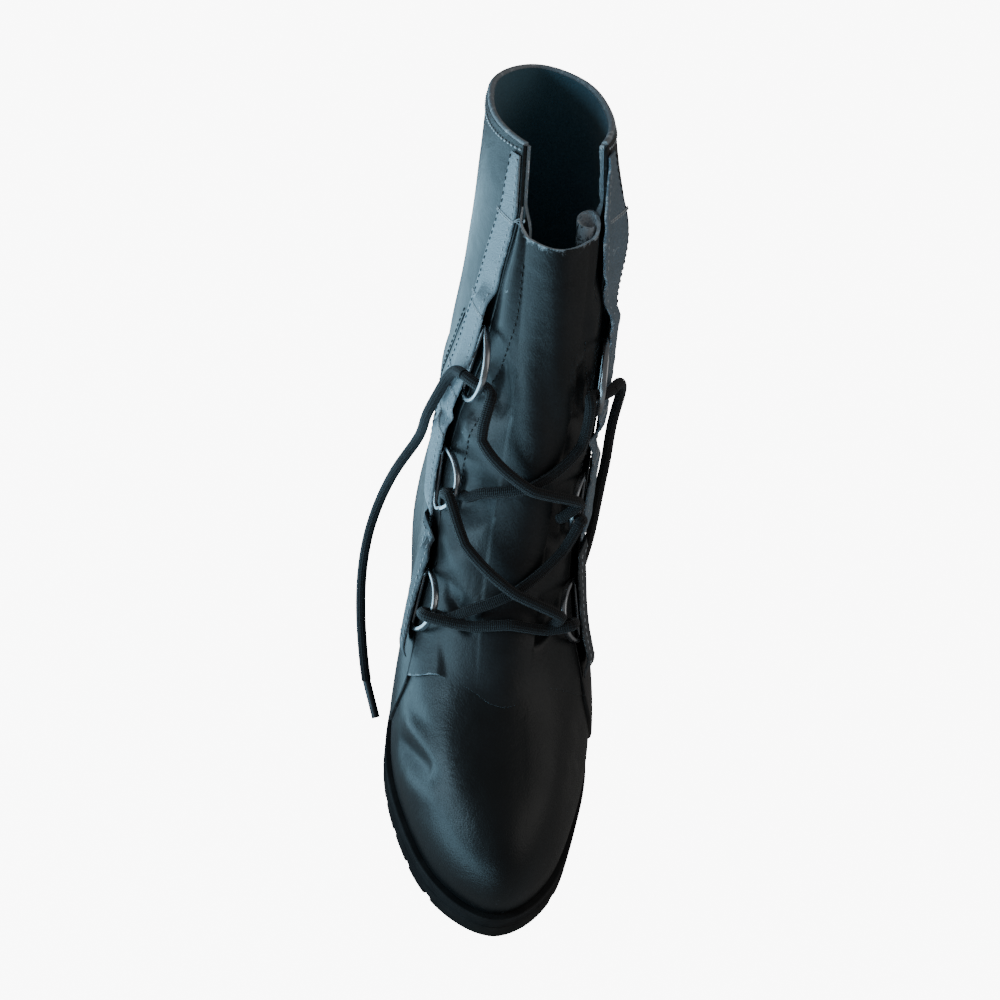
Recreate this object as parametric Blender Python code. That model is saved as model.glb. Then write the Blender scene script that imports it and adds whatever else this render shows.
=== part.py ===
"""Wedge winter boot, the left one of a pair: a black leather derby boot on a rubber wedge sole.

The toe points to -Y and the inner side of the foot to -X. The floor is Z = 0, and the origin lies on it
under the middle of the sole. Sizes are in millimetres until a mesh is made, in metres.
"""
import math

import bmesh
import bpy
import numpy as np

MM = 0.001

# Driving dimensions
LENGTH = 247.0            # feather line, toe to heel
BALL_WIDTH = 86.0         # feather line, across the ball
SHAFT_HEIGHT = 272.0      # floor to collar
HEEL_HEIGHT = 52.0        # floor to footbed under the heel
FOREFOOT_HEIGHT = 14.0    # floor to footbed under the ball
TOE_SPRING = 6.0          # rise of the footbed from the ball to the toe
BALL_LINE = -45.0         # where the footbed starts to climb to the heel
HEEL_LINE = 85.0          # where it levels out again
WALL = 1.6                # vamp leather with its lining
QUARTER_STEP = 1.4        # extra leather of the quarters, over the vamp
GAP = 0.3                 # clearance between neighbours
FEATHER_GAP = 0.45        # the same under the upper, whose edge is cut in longer straights than the wedge

# Sole
SOLE_MARGIN = 2.6
OUTSOLE_THICK = 6.0
LUG_DEPTH = 2.6
GROOVE_WIDTH = 4.5
GROOVE_PITCH = 17.0
FIRST_GROOVE = -112.0
LAST_GROOVE = 101.0
CHANNEL_WIDTH = 5.0
CHANNEL_DEPTH = 2.4
CHANNEL_REACH = (-88.0, 88.0)
TOE_LIFT = 9.0            # bottom of the outsole at the toe tip
TREAD_START = -62.0       # where the outsole leaves the floor towards the toe
HEEL_BEVEL = 2.0
HEEL_BEVEL_START = 104.0
INSOLE_THICK = 3.0
INSOLE_PLAY = 1.3         # inside the upper's wall

# Tongue and throat, by the height of the boot's front line
THROAT_FRONT = 81.0       # lower end of the opening in the upper
LEDGE = 6.0               # upper that shows past the quarter's edge, under the gusset
EDGE_RUN = 0.35           # width of the step at the quarter's edge
TONGUE_LIFT = 0.8         # tongue over the vamp and over the ledges
TONGUE_PLAY = 1.1         # tongue clear of the quarter's edge
TONGUE_THICK = 1.5
GUSSET_EDGE = 12.0        # from the front line to the seam between tongue and gusset
GUSSET_THICK = 1.4        # beside that seam
GUSSET_RIM = 0.9          # beside the quarter
GUSSET_PUFF = 2.0         # how far the gusset bulges between two rings
PUFF_CLEAR = (13.0, 28.0)  # from the lace under a ring, where the bulge starts and is full
PUFF_START = (88.0, 100.0)
GUSSET_DENT = 3.2         # how far the lace under a ring presses the gusset in
DENT_REACH = (6.0, 16.0)  # from that lace, where the dent starts to fade and ends
DENT_CLEAR = (3.6, 8.0)   # the same from the leather that carries the gusset
TONGUE_LOW_FRONT = 75.0
TONGUE_LOW_SIDE = 57.0
TONGUE_TOP = dict(front=234.0, medial=246.0, lateral=240.0)

# Facings, lace rings and lace
FACING_THICK = 1.1
FACING_LIFT = QUARTER_STEP + 0.45
FACING_SETBACK = 0.8
OVERLAY_SHARES = (0.0, 0.22, 0.48, 0.75, 1.0)
OVERLAY_PACE = 6.5        # between the rows of an overlay
TUNNEL_REACH = (8.0, 16.0)    # along the edge from a ring's end, where its leather comes down again
TUNNEL_SHARE = (0.48, 0.75)   # the same across the overlay
TUNNEL_PLAY = 0.65
RING_DEPTH = 20.0
RING_STRIP = 2.0          # strip measured in the ring's plane
RING_BROAD = 2.6          # strip measured across the ring's plane, on its bow
RING_BAR = 1.6            # the same on its bar
RING_SEAT = 0.8           # play of the bar under its leather, above and below
RING_INSET = 3.2          # bar behind the quarter's front edge
LACE_RADIUS = 2.25
LACE_PLAY = 0.4           # lace clear of the tongue
TURN_PLAY = 0.7           # lace clear of the rings it turns round
TURN_CORNER = 0.76        # how far its turn reaches into the corner of a square
LACE_PACE = 9.0
EXIT_DEPTH = 10.0         # where the lace leaves a top ring: out from its bar
EXIT_RISE = 4.5
AGLET_RADIUS = 1.9
AGLET_LENGTH = 18.0

# Where the boot's section rows are tied to the foot: share of the section's length, knot, and how far the
# middle of the section swings to the inner side of the foot
STATIONS = {
    "front": dict(share=0.00, knot=0.00, swing=-3.0),
    "tip": dict(share=0.05, knot=0.08, swing=-3.0),
    "toe": dict(share=0.16, knot=0.19, swing=-3.0),
    "ball": dict(share=0.36, knot=0.37, swing=-1.5),
    "waist": dict(share=0.62, knot=0.60, swing=-1.0),
    "heel": dict(share=0.86, knot=0.81, swing=-0.5),
    "back": dict(share=1.00, knot=1.00, swing=0.0),
}

# Sections from the feather line to the collar. Front and back are shares of LENGTH, their heights shares of
# SHAFT_HEIGHT, and the half widths shares of BALL_WIDTH. "follow" bends a section along the footbed, "swing"
# scales the stations' swing, and "lean" is its slouch to the outer side, in millimetres.
COLUMNS = ("front", "front_up", "back", "back_up", "follow", "swing", "lean",
           "tip", "toe", "ball", "waist", "heel")
SECTIONS = {
    "feather": (-0.526, 0.074, 0.474, 0.191, 1.00, 1.0, 0.0, 0.221, 0.378, 0.500, 0.395, 0.349),
    "wall": (-0.534, 0.118, 0.478, 0.246, 0.80, 1.0, 0.0, 0.221, 0.384, 0.506, 0.419, 0.370),
    "shoulder": (-0.514, 0.169, 0.478, 0.294, 0.60, 1.0, 0.0, 0.209, 0.360, 0.488, 0.413, 0.366),
    "toe_top": (-0.457, 0.210, 0.470, 0.346, 0.40, 1.0, 0.0, 0.192, 0.326, 0.453, 0.395, 0.349),
    "vamp": (-0.368, 0.243, 0.453, 0.404, 0.25, 1.0, 0.0, 0.174, 0.297, 0.424, 0.384, 0.326),
    "vamp_high": (-0.287, 0.279, 0.435, 0.467, 0.15, 1.0, 0.0, 0.163, 0.279, 0.401, 0.378, 0.302),
    "throat": (-0.223, 0.324, 0.421, 0.533, 0.05, 0.8, 0.0, 0.151, 0.267, 0.390, 0.372, 0.285),
    "instep": (-0.170, 0.382, 0.413, 0.599, 0.00, 0.5, 0.0, 0.140, 0.250, 0.372, 0.366, 0.273),
    "ankle": (-0.113, 0.471, 0.413, 0.673, 0.00, 0.2, 1.0, 0.128, 0.238, 0.360, 0.360, 0.262),
    "shaft_low": (-0.065, 0.588, 0.419, 0.765, 0.00, 0.0, 3.0, 0.122, 0.227, 0.343, 0.349, 0.250),
    "shaft_mid": (-0.024, 0.735, 0.429, 0.868, 0.00, 0.0, 4.0, 0.116, 0.221, 0.326, 0.331, 0.238),
    "collar": (0.040, 0.996, 0.437, 1.000, 0.00, 0.0, 0.0, 0.105, 0.192, 0.262, 0.267, 0.198),
}

# Front edge of the quarters: height of the front line, and the way round the boot from it to each edge
QUARTER_EDGE = (
    dict(front=20.0, medial=118.0, lateral=112.0),
    dict(front=56.0, medial=84.0, lateral=78.0),
    dict(front=68.0, medial=71.0, lateral=62.0),
    dict(front=89.0, medial=51.0, lateral=45.5),
    dict(front=101.0, medial=53.0, lateral=44.5),
    dict(front=116.0, medial=53.0, lateral=43.5),
    dict(front=145.0, medial=46.5, lateral=39.0),
    dict(front=173.0, medial=36.5, lateral=33.5),
    dict(front=195.0, medial=31.0, lateral=30.5),
    dict(front=222.0, medial=24.0, lateral=27.5),
    dict(front=245.0, medial=17.0, lateral=25.5),
    dict(front=271.0, medial=16.0, lateral=25.0),
)

# Overlays behind that edge: height of the front line, and width round the boot
FACING_WIDTH = (
    dict(front=101.0, width=20.0),
    dict(front=128.0, width=22.0),
    dict(front=173.0, width=16.0),
    dict(front=222.0, width=10.0),
    dict(front=267.0, width=8.0),
)
TAB_WIDTH = (
    dict(front=60.0, width=14.0),
    dict(front=97.0, width=16.0),
)

# Free ends of the lace: first over the leather, by the height of the front line, the way round from it and
# the lift over the boot's form, then points down to the floor, of which the last is the aglet's tip
LACE_OVER = dict(
    medial=(
        dict(front=166.0, way=44.0, lift=9.4),
        dict(front=155.0, way=50.0, lift=9.2),
        dict(front=143.0, way=56.0, lift=9.3),
        dict(front=129.0, way=64.0, lift=9.5),
        dict(front=112.0, way=78.0, lift=7.0),
    ),
    lateral=(
        dict(front=177.0, way=42.0, lift=11.0),
        dict(front=174.0, way=48.0, lift=12.0),
        dict(front=164.0, way=52.0, lift=11.5),
        dict(front=152.0, way=53.0, lift=9.6),
        dict(front=138.0, way=57.0, lift=8.6),
        dict(front=120.0, way=64.0, lift=8.4),
        dict(front=104.0, way=72.0, lift=7.0),
    ),
)
LACE_FALL = dict(
    medial=(
        (-48.0, 26.0, 122.0), (-54.0, 28.5, 104.0), (-59.0, 25.5, 86.0), (-61.5, 19.0, 66.0),
        (-61.0, 11.0, 46.0), (-59.0, 4.5, 29.0), (-56.5, -1.0, 14.5), (-51.0, -15.0, 3.4),
    ),
    lateral=(
        (41.5, 22.0, 92.0), (43.0, 31.0, 70.0), (44.5, 42.0, 46.0), (45.0, 52.0, 26.0),
        (45.0, 57.0, 12.0), (44.6, 53.0, 4.2), (44.2, 45.0, 2.9), (43.5, 27.0, 2.6),
    ),
)

# Lace rings from the lowest one up: height of the front line beside the ring on each side, half of its
# straight bar, tilt off the leather in degrees, and where the lace turns round the ring, from its middle
RINGS = (
    dict(medial=72.5, lateral=76.0, half=13.0, tilt=10.0, slide=-3.0),
    dict(medial=113.0, lateral=113.0, half=13.0, tilt=10.0, slide=-4.0),
    dict(medial=173.0, lateral=173.0, half=16.0, tilt=21.0, slide=-3.0),
)

# Lace across the tongue, from the lower side to the other: height of the front line, way from it, and rise
# over the tongue's middle
BAR = (
    dict(front=90.0, way=16.0, rise=0.9),
    dict(front=97.0, way=0.0, rise=0.4),
    dict(front=90.0, way=-16.0, rise=0.9),
)
LOWER_CROSSING = (
    dict(front=94.0, way=17.0, rise=2.8),
    dict(front=108.0, way=0.0, rise=0.4),
    dict(front=116.0, way=-18.0, rise=2.8),
)
UPPER_CROSSING = (
    dict(front=136.0, way=17.0, rise=2.4),
    dict(front=148.0, way=0.0, rise=0.0),
    dict(front=158.0, way=-17.0, rise=2.4),
)

SIGN = dict(medial=-1.0, lateral=1.0)
FINE_UP = 401             # points along the front line, to read heights from
FINE_ROUND = 321          # points round the boot, to read ways from


def row(name):
    """A section's values by column name."""
    return dict(zip(COLUMNS, SECTIONS[name]))


def ease(value, low, high):
    """A smooth step from 0 at low to 1 at high."""
    t = np.clip((np.asarray(value, float) - low) / (high - low), 0.0, 1.0)
    return t * t * (3.0 - 2.0 * t)


def footbed(y):
    """Height of the top of the sole along the foot."""
    y = np.asarray(y, float)
    toe_line = row("feather")["front"] * LENGTH
    climb = (HEEL_HEIGHT - FOREFOOT_HEIGHT) * ease(y, BALL_LINE, HEEL_LINE)
    ahead = np.clip((BALL_LINE - y) / (BALL_LINE - toe_line), 0.0, 1.2)
    return FOREFOOT_HEIGHT + climb + TOE_SPRING * ahead ** 2


def tread(y):
    """Height of the bottom of the sole: flat from the ball to the heel, rising to the toe."""
    y = np.asarray(y, float)
    toe_line = row("feather")["front"] * LENGTH - SOLE_MARGIN
    heel_line = row("feather")["back"] * LENGTH + SOLE_MARGIN
    ahead = np.clip((TREAD_START - y) / (TREAD_START - toe_line), 0.0, 1.0)
    behind = np.clip((y - HEEL_BEVEL_START) / (heel_line - HEEL_BEVEL_START), 0.0, 1.0)
    return TOE_LIFT * ahead ** 2 + HEEL_BEVEL * behind ** 2


def spline_weights(knots, x, period=None):
    """Weights of the knots in a cubic spline at x: natural at its ends, or closed over a period."""
    knots = np.asarray(knots, float)
    count = len(knots)
    steps = np.diff(knots)
    if period:
        steps = np.append(steps, knots[0] + period - knots[-1])
    left = np.eye(count)
    right = np.zeros((count, count))
    for i in range(count):
        if not period and i in (0, count - 1):
            continue
        before, after = (i - 1) % count, (i + 1) % count
        low, high = steps[(i - 1) % len(steps)], steps[i % len(steps)]
        left[i] = 0.0
        left[i, [before, i, after]] = low, 2.0 * (low + high), high
        right[i, [before, i, after]] = 6.0 / low, -6.0 / low - 6.0 / high, 6.0 / high
    bend = np.linalg.solve(left, right)
    x = np.asarray(x, float)
    x = (x - knots[0]) % period + knots[0] if period else np.clip(x, knots[0], knots[-1])
    i = np.clip(np.searchsorted(knots, x, side="right") - 1, 0, len(steps) - 1)
    j = (i + 1) % count
    t = ((x - knots[i]) / steps[i])[:, None]
    size = (steps[i] ** 2 / 6.0)[:, None]
    eye = np.eye(count)
    straight = (1.0 - t) * eye[i] + t * eye[j]
    return straight + size * (((1.0 - t) ** 3 - (1.0 - t)) * bend[i] + (t ** 3 - t) * bend[j])


def section_loop(name):
    """Points of one section at its stations: down the outer side, back up the inner side."""
    sec = row(name)
    front, back = sec["front"] * LENGTH, sec["back"] * LENGTH
    low, high = sec["front_up"] * SHAFT_HEIGHT, sec["back_up"] * SHAFT_HEIGHT
    outer, inner = [], []
    for station, tie in STATIONS.items():
        share = tie["share"]
        y = front + (back - front) * share
        chord = footbed(front) + (footbed(back) - footbed(front)) * share
        z = low + (high - low) * share + sec["follow"] * (footbed(y) - chord)
        middle = tie["swing"] * sec["swing"] + sec["lean"]
        half = sec.get(station, 0.0) * BALL_WIDTH if station not in ("front", "back") else 0.0
        outer.append((middle + half, y, z))
        inner.append((middle - half, y, z))
    return outer + inner[-2:0:-1]


def feather_loop():
    """The lowest section lies on the footbed."""
    return [(x, y, float(footbed(y)) + FEATHER_GAP) for x, y, z in section_loop("feather")]


NET = np.array([feather_loop()] + [section_loop(name) for name in list(SECTIONS)[1:]])
HALF_KNOTS = [tie["knot"] for tie in STATIONS.values()]
AROUND = HALF_KNOTS + [2.0 - knot for knot in HALF_KNOTS[-2:0:-1]]
CLIMB = np.append(0.0, np.cumsum(np.linalg.norm(np.diff(NET, axis=0), axis=2).mean(axis=1)))
UPWARD = CLIMB / CLIMB[-1]


def skin(around, up, lift=0.0):
    """The boot's outer form. around runs 0 at the front, 1 at the back, -1 to 0 on the inner side; up runs
    0 at the feather line, 1 at the collar; lift is a distance out along the normal."""
    around, up, lift = np.broadcast_arrays(np.asarray(around, float), up, lift)
    shape = around.shape
    around, up, lift = around.ravel(), up.ravel(), lift.ravel()

    def at(a, b):
        return np.einsum("ir,ik,rkd->id", spline_weights(UPWARD, b), spline_weights(AROUND, a, 2.0), NET)

    small = 1e-3
    side = at(around + small, up) - at(around - small, up)
    rise = at(around, np.minimum(up + small, 1.0)) - at(around, np.maximum(up - small, 0.0))
    normal = np.cross(side, rise)
    normal /= np.linalg.norm(normal, axis=1)[:, None]
    return (at(around, up) + lift[:, None] * normal).reshape(*shape, 3)


FRONT_UP = np.linspace(0.0, 1.0, FINE_UP)
FRONT_Z = skin(np.zeros(FINE_UP), FRONT_UP)[:, 2]


def up_at(front_height):
    """How far up the boot the front line has this height."""
    return np.interp(front_height, FRONT_Z, FRONT_UP)


def girth(up):
    """Ways round the boot from the front line at one height, and where each leads."""
    fine = np.linspace(-1.0, 1.0, FINE_ROUND)
    run = np.append(0.0, np.cumsum(np.linalg.norm(np.diff(skin(fine, up), axis=0), axis=1)))
    return run - run[FINE_ROUND // 2], fine


def around_at(up, way):
    """How far round the boot a way in millimetres from the front line leads; the inner side is negative."""
    return np.interp(way, *girth(up))


def spot(up, way, lift=0.0):
    """One point of the boot's form, by its height and its way from the front line."""
    return skin(around_at(up, way), up, lift)


def table_at(table, column, up):
    """A table's column, read by the height of the front line."""
    ups = [float(up_at(entry["front"])) for entry in table]
    return np.interp(up, ups, [entry[column] for entry in table])


def edge_at(side, up):
    """Way from the front line to the quarter's front edge, signed by side."""
    return table_at(QUARTER_EDGE, side, up) * SIGN[side]


def sole_outline(margin, count=64):
    """The feather line from above, moved out by a margin, as points from the toe round the outer side."""
    turn = np.arange(count) * 2.0 / count
    line = skin(turn, 0.0)[:, :2]
    along = skin(turn + 1e-3, 0.0)[:, :2] - skin(turn - 1e-3, 0.0)[:, :2]
    out = np.stack([along[:, 1], -along[:, 0]], axis=1)
    return line + margin * out / np.linalg.norm(out, axis=1)[:, None]


SOLE_EDGE = sole_outline(SOLE_MARGIN)
MIDDLE = np.append((SOLE_EDGE.min(axis=0) + SOLE_EDGE.max(axis=0)) / 2.0, 0.0)


def clear_scene():
    for obj in list(bpy.data.objects):
        bpy.data.objects.remove(obj, do_unlink=True)


def finish(name, colour, roughness, metallic=0.0):
    """A plain material."""
    material = bpy.data.materials.new(name)
    material.use_nodes = True
    shader = material.node_tree.nodes["Principled BSDF"]
    shader.inputs["Base Color"].default_value = (*colour, 1.0)
    shader.inputs["Roughness"].default_value = roughness
    shader.inputs["Metallic"].default_value = metallic
    return material


def add_object(name, data, material):
    obj = bpy.data.objects.new(name, data)
    data.materials.append(material)
    bpy.context.scene.collection.objects.link(obj)
    return obj


def solid(name, points, faces, material, smooth_angle=50.0):
    """A closed mesh from points in millimetres."""
    mesh = bpy.data.meshes.new(name)
    mesh.from_pydata([tuple(p) for p in (np.asarray(points) - MIDDLE) * MM], [], faces)
    form = bmesh.new()
    form.from_mesh(mesh)
    bmesh.ops.recalc_face_normals(form, faces=form.faces)
    form.to_mesh(mesh)
    form.free()
    mesh.shade_smooth()
    mesh.set_sharp_from_angle(angle=math.radians(smooth_angle))
    return add_object(name, mesh, material)


def wall(name, outer, inner, material, closed=False, present=None):
    """A wall between two grids of points, with rims round its edges and round cells that are left open."""
    rows, cols = outer.shape[:2]
    spans = cols if closed else cols - 1
    if present is None:
        present = np.ones((rows - 1, spans), bool)
    shift = rows * cols
    faces, edges = [], {}
    for r in range(rows - 1):
        for c in range(spans):
            if not present[r, c]:
                continue
            d = (c + 1) % cols
            quad = [r * cols + c, r * cols + d, (r + 1) * cols + d, (r + 1) * cols + c]
            faces.append(quad)
            faces.append([i + shift for i in reversed(quad)])
            for a, b in zip(quad, quad[1:] + quad[:1]):
                if not edges.pop((b, a), None):
                    edges[(a, b)] = True
    for a, b in edges:
        faces.append([b, a, a + shift, b + shift])
    used = sorted({i for face in faces for i in face})
    renumber = {old: new for new, old in enumerate(used)}
    points = np.concatenate([outer.reshape(-1, 3), inner.reshape(-1, 3)])[used]
    return solid(name, points, [[renumber[i] for i in face] for face in faces], material)


def slab(name, outline, low, high, material):
    """A layer of the sole: an outline between two heights along the foot."""
    count = len(outline)
    bottom = np.column_stack([outline, low(outline[:, 1])])
    top = np.column_stack([outline, high(outline[:, 1])])
    faces = []
    for i in range(count):
        j = (i + 1) % count
        faces.append([i, i + count, j + count, j])
    pairs = [(i, (count - i) % count) for i in range(count // 2 + 1)]
    for (a, b), (c, d) in zip(pairs, pairs[1:]):
        lower = list(dict.fromkeys((a, c, d, b)))
        faces.append(lower)
        faces.append([i + count for i in reversed(lower)])
    return solid(name, np.concatenate([bottom, top]), faces, material, smooth_angle=30.0)


def boxes(name, spans):
    """A cutter made of boxes, each given by its lowest and highest corner."""
    points, faces = [], []
    for low, high in spans:
        start = len(points)
        points += [(x, y, z) for z in (low[2], high[2]) for y in (low[1], high[1]) for x in (low[0], high[0])]
        faces += [[start + i for i in face] for face in
                  ((0, 2, 3, 1), (4, 5, 7, 6), (0, 1, 5, 4), (2, 6, 7, 3), (0, 4, 6, 2), (1, 3, 7, 5))]
    obj = solid(name, points, faces, RUBBER)
    obj.hide_render = True
    obj.display_type = "WIRE"
    return obj


def cut(obj, cutter):
    tool = obj.modifiers.new(cutter.name, "BOOLEAN")
    tool.operation = "DIFFERENCE"
    tool.object = cutter


def make_outsole():
    """Rubber outsole, with lugs between cross grooves and one channel along the middle."""
    def top(y):
        return tread(y) + OUTSOLE_THICK

    obj = slab("outsole", SOLE_EDGE, tread, top, RUBBER)
    reach = BALL_WIDTH
    grooves = []
    for y in np.arange(FIRST_GROOVE, LAST_GROOVE, GROOVE_PITCH):
        level = float(tread(y)) + LUG_DEPTH
        grooves.append(((-reach, y - GROOVE_WIDTH / 2, -LUG_DEPTH), (reach, y + GROOVE_WIDTH / 2, level)))
    cut(obj, boxes("groove_cutter", grooves))
    left, right = MIDDLE[0] - CHANNEL_WIDTH / 2, MIDDLE[0] + CHANNEL_WIDTH / 2
    start, end = CHANNEL_REACH
    cut(obj, boxes("channel_cutter", [((left, start, -LUG_DEPTH), (right, end, CHANNEL_DEPTH))]))


def make_wedge():
    """Wedge between the outsole and the foot."""
    def low(y):
        return tread(y) + OUTSOLE_THICK + GAP

    slab("wedge_midsole", SOLE_EDGE, low, footbed, WEDGE)


def make_insole():
    """Footbed board inside the upper."""
    def low(y):
        return footbed(y) + GAP

    def high(y):
        return footbed(y) + GAP + INSOLE_THICK

    slab("insole", sole_outline(-WALL - INSOLE_PLAY), low, high, LINING)


def make_upper():
    """Vamp, quarters and shaft: one wall, open underneath, at the collar and at the throat. The quarters
    stand one leather higher than the vamp."""
    low_ups = np.linspace(0.0, up_at(THROAT_FRONT), 10)
    high_ups = np.linspace(up_at(THROAT_FRONT), 1.0, 15)
    free_cells, held_cells = 9, 12
    outer, inner = [], []
    for up in np.append(low_ups, high_ups[1:]):
        ways, lifts = {}, {}
        for side, back in zip(SIGN, girth(up)[0][[0, -1]]):
            edge = edge_at(side, up)
            free = np.linspace(0.0, edge - SIGN[side] * LEDGE, free_cells + 1)
            held = np.linspace(edge + SIGN[side] * EDGE_RUN, back, held_cells + 1)
            ways[side] = np.concatenate([free, [edge], held])
            lifts[side] = np.repeat([0.0, QUARTER_STEP], [len(free) + 1, len(held)])
        around = around_at(up, np.concatenate([ways["lateral"], ways["medial"][-2:0:-1]]))
        lift = np.concatenate([lifts["lateral"], lifts["medial"][-2:0:-1]])
        outer.append(skin(around, up, lift))
        inner.append(skin(around, up, -WALL))
    for grid in (outer, inner):
        grid[0][:, 2] = footbed(grid[0][:, 1]) + FEATHER_GAP
    present = np.ones((len(outer) - 1, len(outer[0])), bool)
    present[len(low_ups) - 1:, :free_cells] = False
    present[len(low_ups) - 1:, -free_cells:] = False
    wall("upper", np.array(outer), np.array(inner), LEATHER, closed=True, present=present)


def tongue_column(side, share, rows):
    """One line of the tongue, from its lower to its upper edge: share 0 lies on the seam to the gusset and 1
    beside the quarter. Returns its outer and inner points."""
    low = up_at(TONGUE_LOW_FRONT + (TONGUE_LOW_SIDE - TONGUE_LOW_FRONT) * share ** 1.5)
    top = up_at(TONGUE_TOP["front"] + (TONGUE_TOP[side] - TONGUE_TOP["front"]) * share)
    ups = np.linspace(low, top, rows)
    reach = edge_at(side, ups) - SIGN[side] * TONGUE_PLAY
    ways = SIGN[side] * (GUSSET_EDGE + EDGE_RUN) * (1.0 - share) + reach * share
    front = np.interp(ups, FRONT_UP, FRONT_Z)
    places = np.array([spot(up, way) for up, way in zip(ups, ways)])
    lace = np.concatenate([round_ring(side, ring)[-3:] for ring in RINGS])
    far = np.linalg.norm(places[:, None] - lace[None], axis=2).min(axis=1)
    puff = GUSSET_PUFF * math.sin(math.pi * share) * ease(far, *PUFF_CLEAR) * ease(front, *PUFF_START)
    room = ease(np.abs(reach - ways) - LEDGE, *DENT_CLEAR) * ease(front - THROAT_FRONT, *DENT_CLEAR)
    dent = GUSSET_DENT * (1.0 - ease(far, *DENT_REACH)) * room
    low_lift = TONGUE_LIFT + puff - dent
    thick = GUSSET_THICK + (GUSSET_RIM - GUSSET_THICK) * share
    inner = [spot(up, way, lift) for up, way, lift in zip(ups, ways, low_lift)]
    outer = [spot(up, way, lift) for up, way, lift in zip(ups, ways, low_lift + thick)]
    return outer, inner


def middle_column(way, rows):
    """One line of the tongue's middle."""
    ups = np.linspace(up_at(TONGUE_LOW_FRONT), up_at(TONGUE_TOP["front"]), rows)
    outer = [spot(up, way, TONGUE_LIFT + TONGUE_THICK) for up in ups]
    inner = [spot(up, way, TONGUE_LIFT) for up in ups]
    return outer, inner


def make_tongue():
    """Bellows tongue: a plain middle, and a gusset on each side that reaches to the quarter's edge."""
    rows, shares = 20, np.linspace(0.0, 1.0, 6)
    columns = [tongue_column("medial", share, rows) for share in shares[::-1]]
    columns += [middle_column(way, rows) for way in np.linspace(-GUSSET_EDGE, GUSSET_EDGE, 5)]
    columns += [tongue_column("lateral", share, rows) for share in shares]
    outer = np.array([column[0] for column in columns]).transpose(1, 0, 2)
    inner = np.array([column[1] for column in columns]).transpose(1, 0, 2)
    wall("tongue", outer, inner, LEATHER)


def ring_frame(side, ring):
    """Middle of a ring's bar on the quarter, and its directions: along the edge, out over the tongue, and
    up from both."""
    def bar_spot(up):
        return spot(up, edge_at(side, up) + SIGN[side] * RING_INSET, QUARTER_STEP + RING_SEAT + RING_BAR / 2)

    up, step, tilt = up_at(ring[side]), 0.035, math.radians(ring["tilt"])
    middle = (bar_spot(up + step) + 2.0 * bar_spot(up) + bar_spot(up - step)) / 4.0
    along = bar_spot(up + step) - bar_spot(up - step)
    along /= np.linalg.norm(along)
    way = edge_at(side, up) + SIGN[side] * RING_INSET
    across = spot(up, way - SIGN[side]) - spot(up, way)
    rise = np.cross(along, across) * SIGN[side]
    rise /= np.linalg.norm(rise)
    across = np.cross(rise, along) * SIGN[side]
    out = across * math.cos(tilt) + rise * math.sin(tilt)
    rise = rise * math.cos(tilt) - across * math.sin(tilt)
    return middle, along, out, rise


def make_overlay(name, side, widths):
    """A strip of leather along the quarter's front edge, lifted where it passes over a ring's bar."""
    shares = np.array(OVERLAY_SHARES)
    first, last = (float(up_at(widths[i]["front"])) for i in (0, -1))
    rows = max(8, round((last - first) * CLIMB[-1] / OVERLAY_PACE))
    raised = QUARTER_STEP + RING_BAR + 2.0 * RING_SEAT + TUNNEL_PLAY
    frames = [ring_frame(side, ring) for ring in RINGS]
    outer, inner = [], []
    for up in np.linspace(first, last, rows):
        width = table_at(widths, "width", up) * shares
        ways = edge_at(side, up) + SIGN[side] * (FACING_SETBACK + width)
        points = spot(up, ways)
        over = np.zeros(len(shares))
        for ring, (middle, along, out, rise) in zip(RINGS, frames):
            past = np.abs((points - middle) @ along) - ring["half"]
            over = np.maximum(over, 1.0 - ease(past, *TUNNEL_REACH))
        over *= 1.0 - ease(shares, *TUNNEL_SHARE)
        lift = FACING_LIFT + over * (raised - FACING_LIFT)
        outer.append(spot(up, ways, lift + FACING_THICK))
        inner.append(spot(up, ways, lift))
    step = int(SIGN[side])
    wall(name, np.array(outer)[:, ::step], np.array(inner)[:, ::step], LEATHER)


def ring_bow(ring, angle):
    """A point of a ring's bow in its own plane: along the bar, and out from it."""
    return ring["half"] * math.cos(angle), RING_DEPTH * math.sin(angle)


def make_ring(name, side, ring):
    """A D shaped strip: a bar under the leather, and a bow out over the tongue."""
    middle, along, out, rise = ring_frame(side, ring)
    bar = ring["half"] - RING_STRIP
    path = [(-bar, 0.0), (0.0, 0.0), (bar, 0.0)]
    path += [ring_bow(ring, angle) for angle in np.linspace(math.radians(9), math.radians(171), 15)]
    path = np.array(path)
    tangent = np.roll(path, -1, axis=0) - np.roll(path, 1, axis=0)
    tangent /= np.linalg.norm(tangent, axis=1)[:, None]
    half = RING_STRIP / 2
    points = []
    for (t, o), (dt, do) in zip(path, tangent):
        broad = (RING_BAR + (RING_BROAD - RING_BAR) * float(ease(o, 4.0, 9.0))) / 2
        for r, n in ((1, 0.5), (0.5, 1), (-0.5, 1), (-1, 0.5), (-1, -0.5), (-0.5, -1), (0.5, -1), (1, -0.5)):
            plane = (t + r * half * do) * along + (o - r * half * dt) * out
            points.append(middle + plane + n * broad * rise)
    count, sides = len(path), 8
    faces = []
    for i in range(count):
        for j in range(sides):
            a, b = i * sides, (i + 1) % count * sides
            faces.append([a + j, b + j, b + (j + 1) % sides, a + (j + 1) % sides])
    solid(name, points, faces, METAL)


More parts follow.
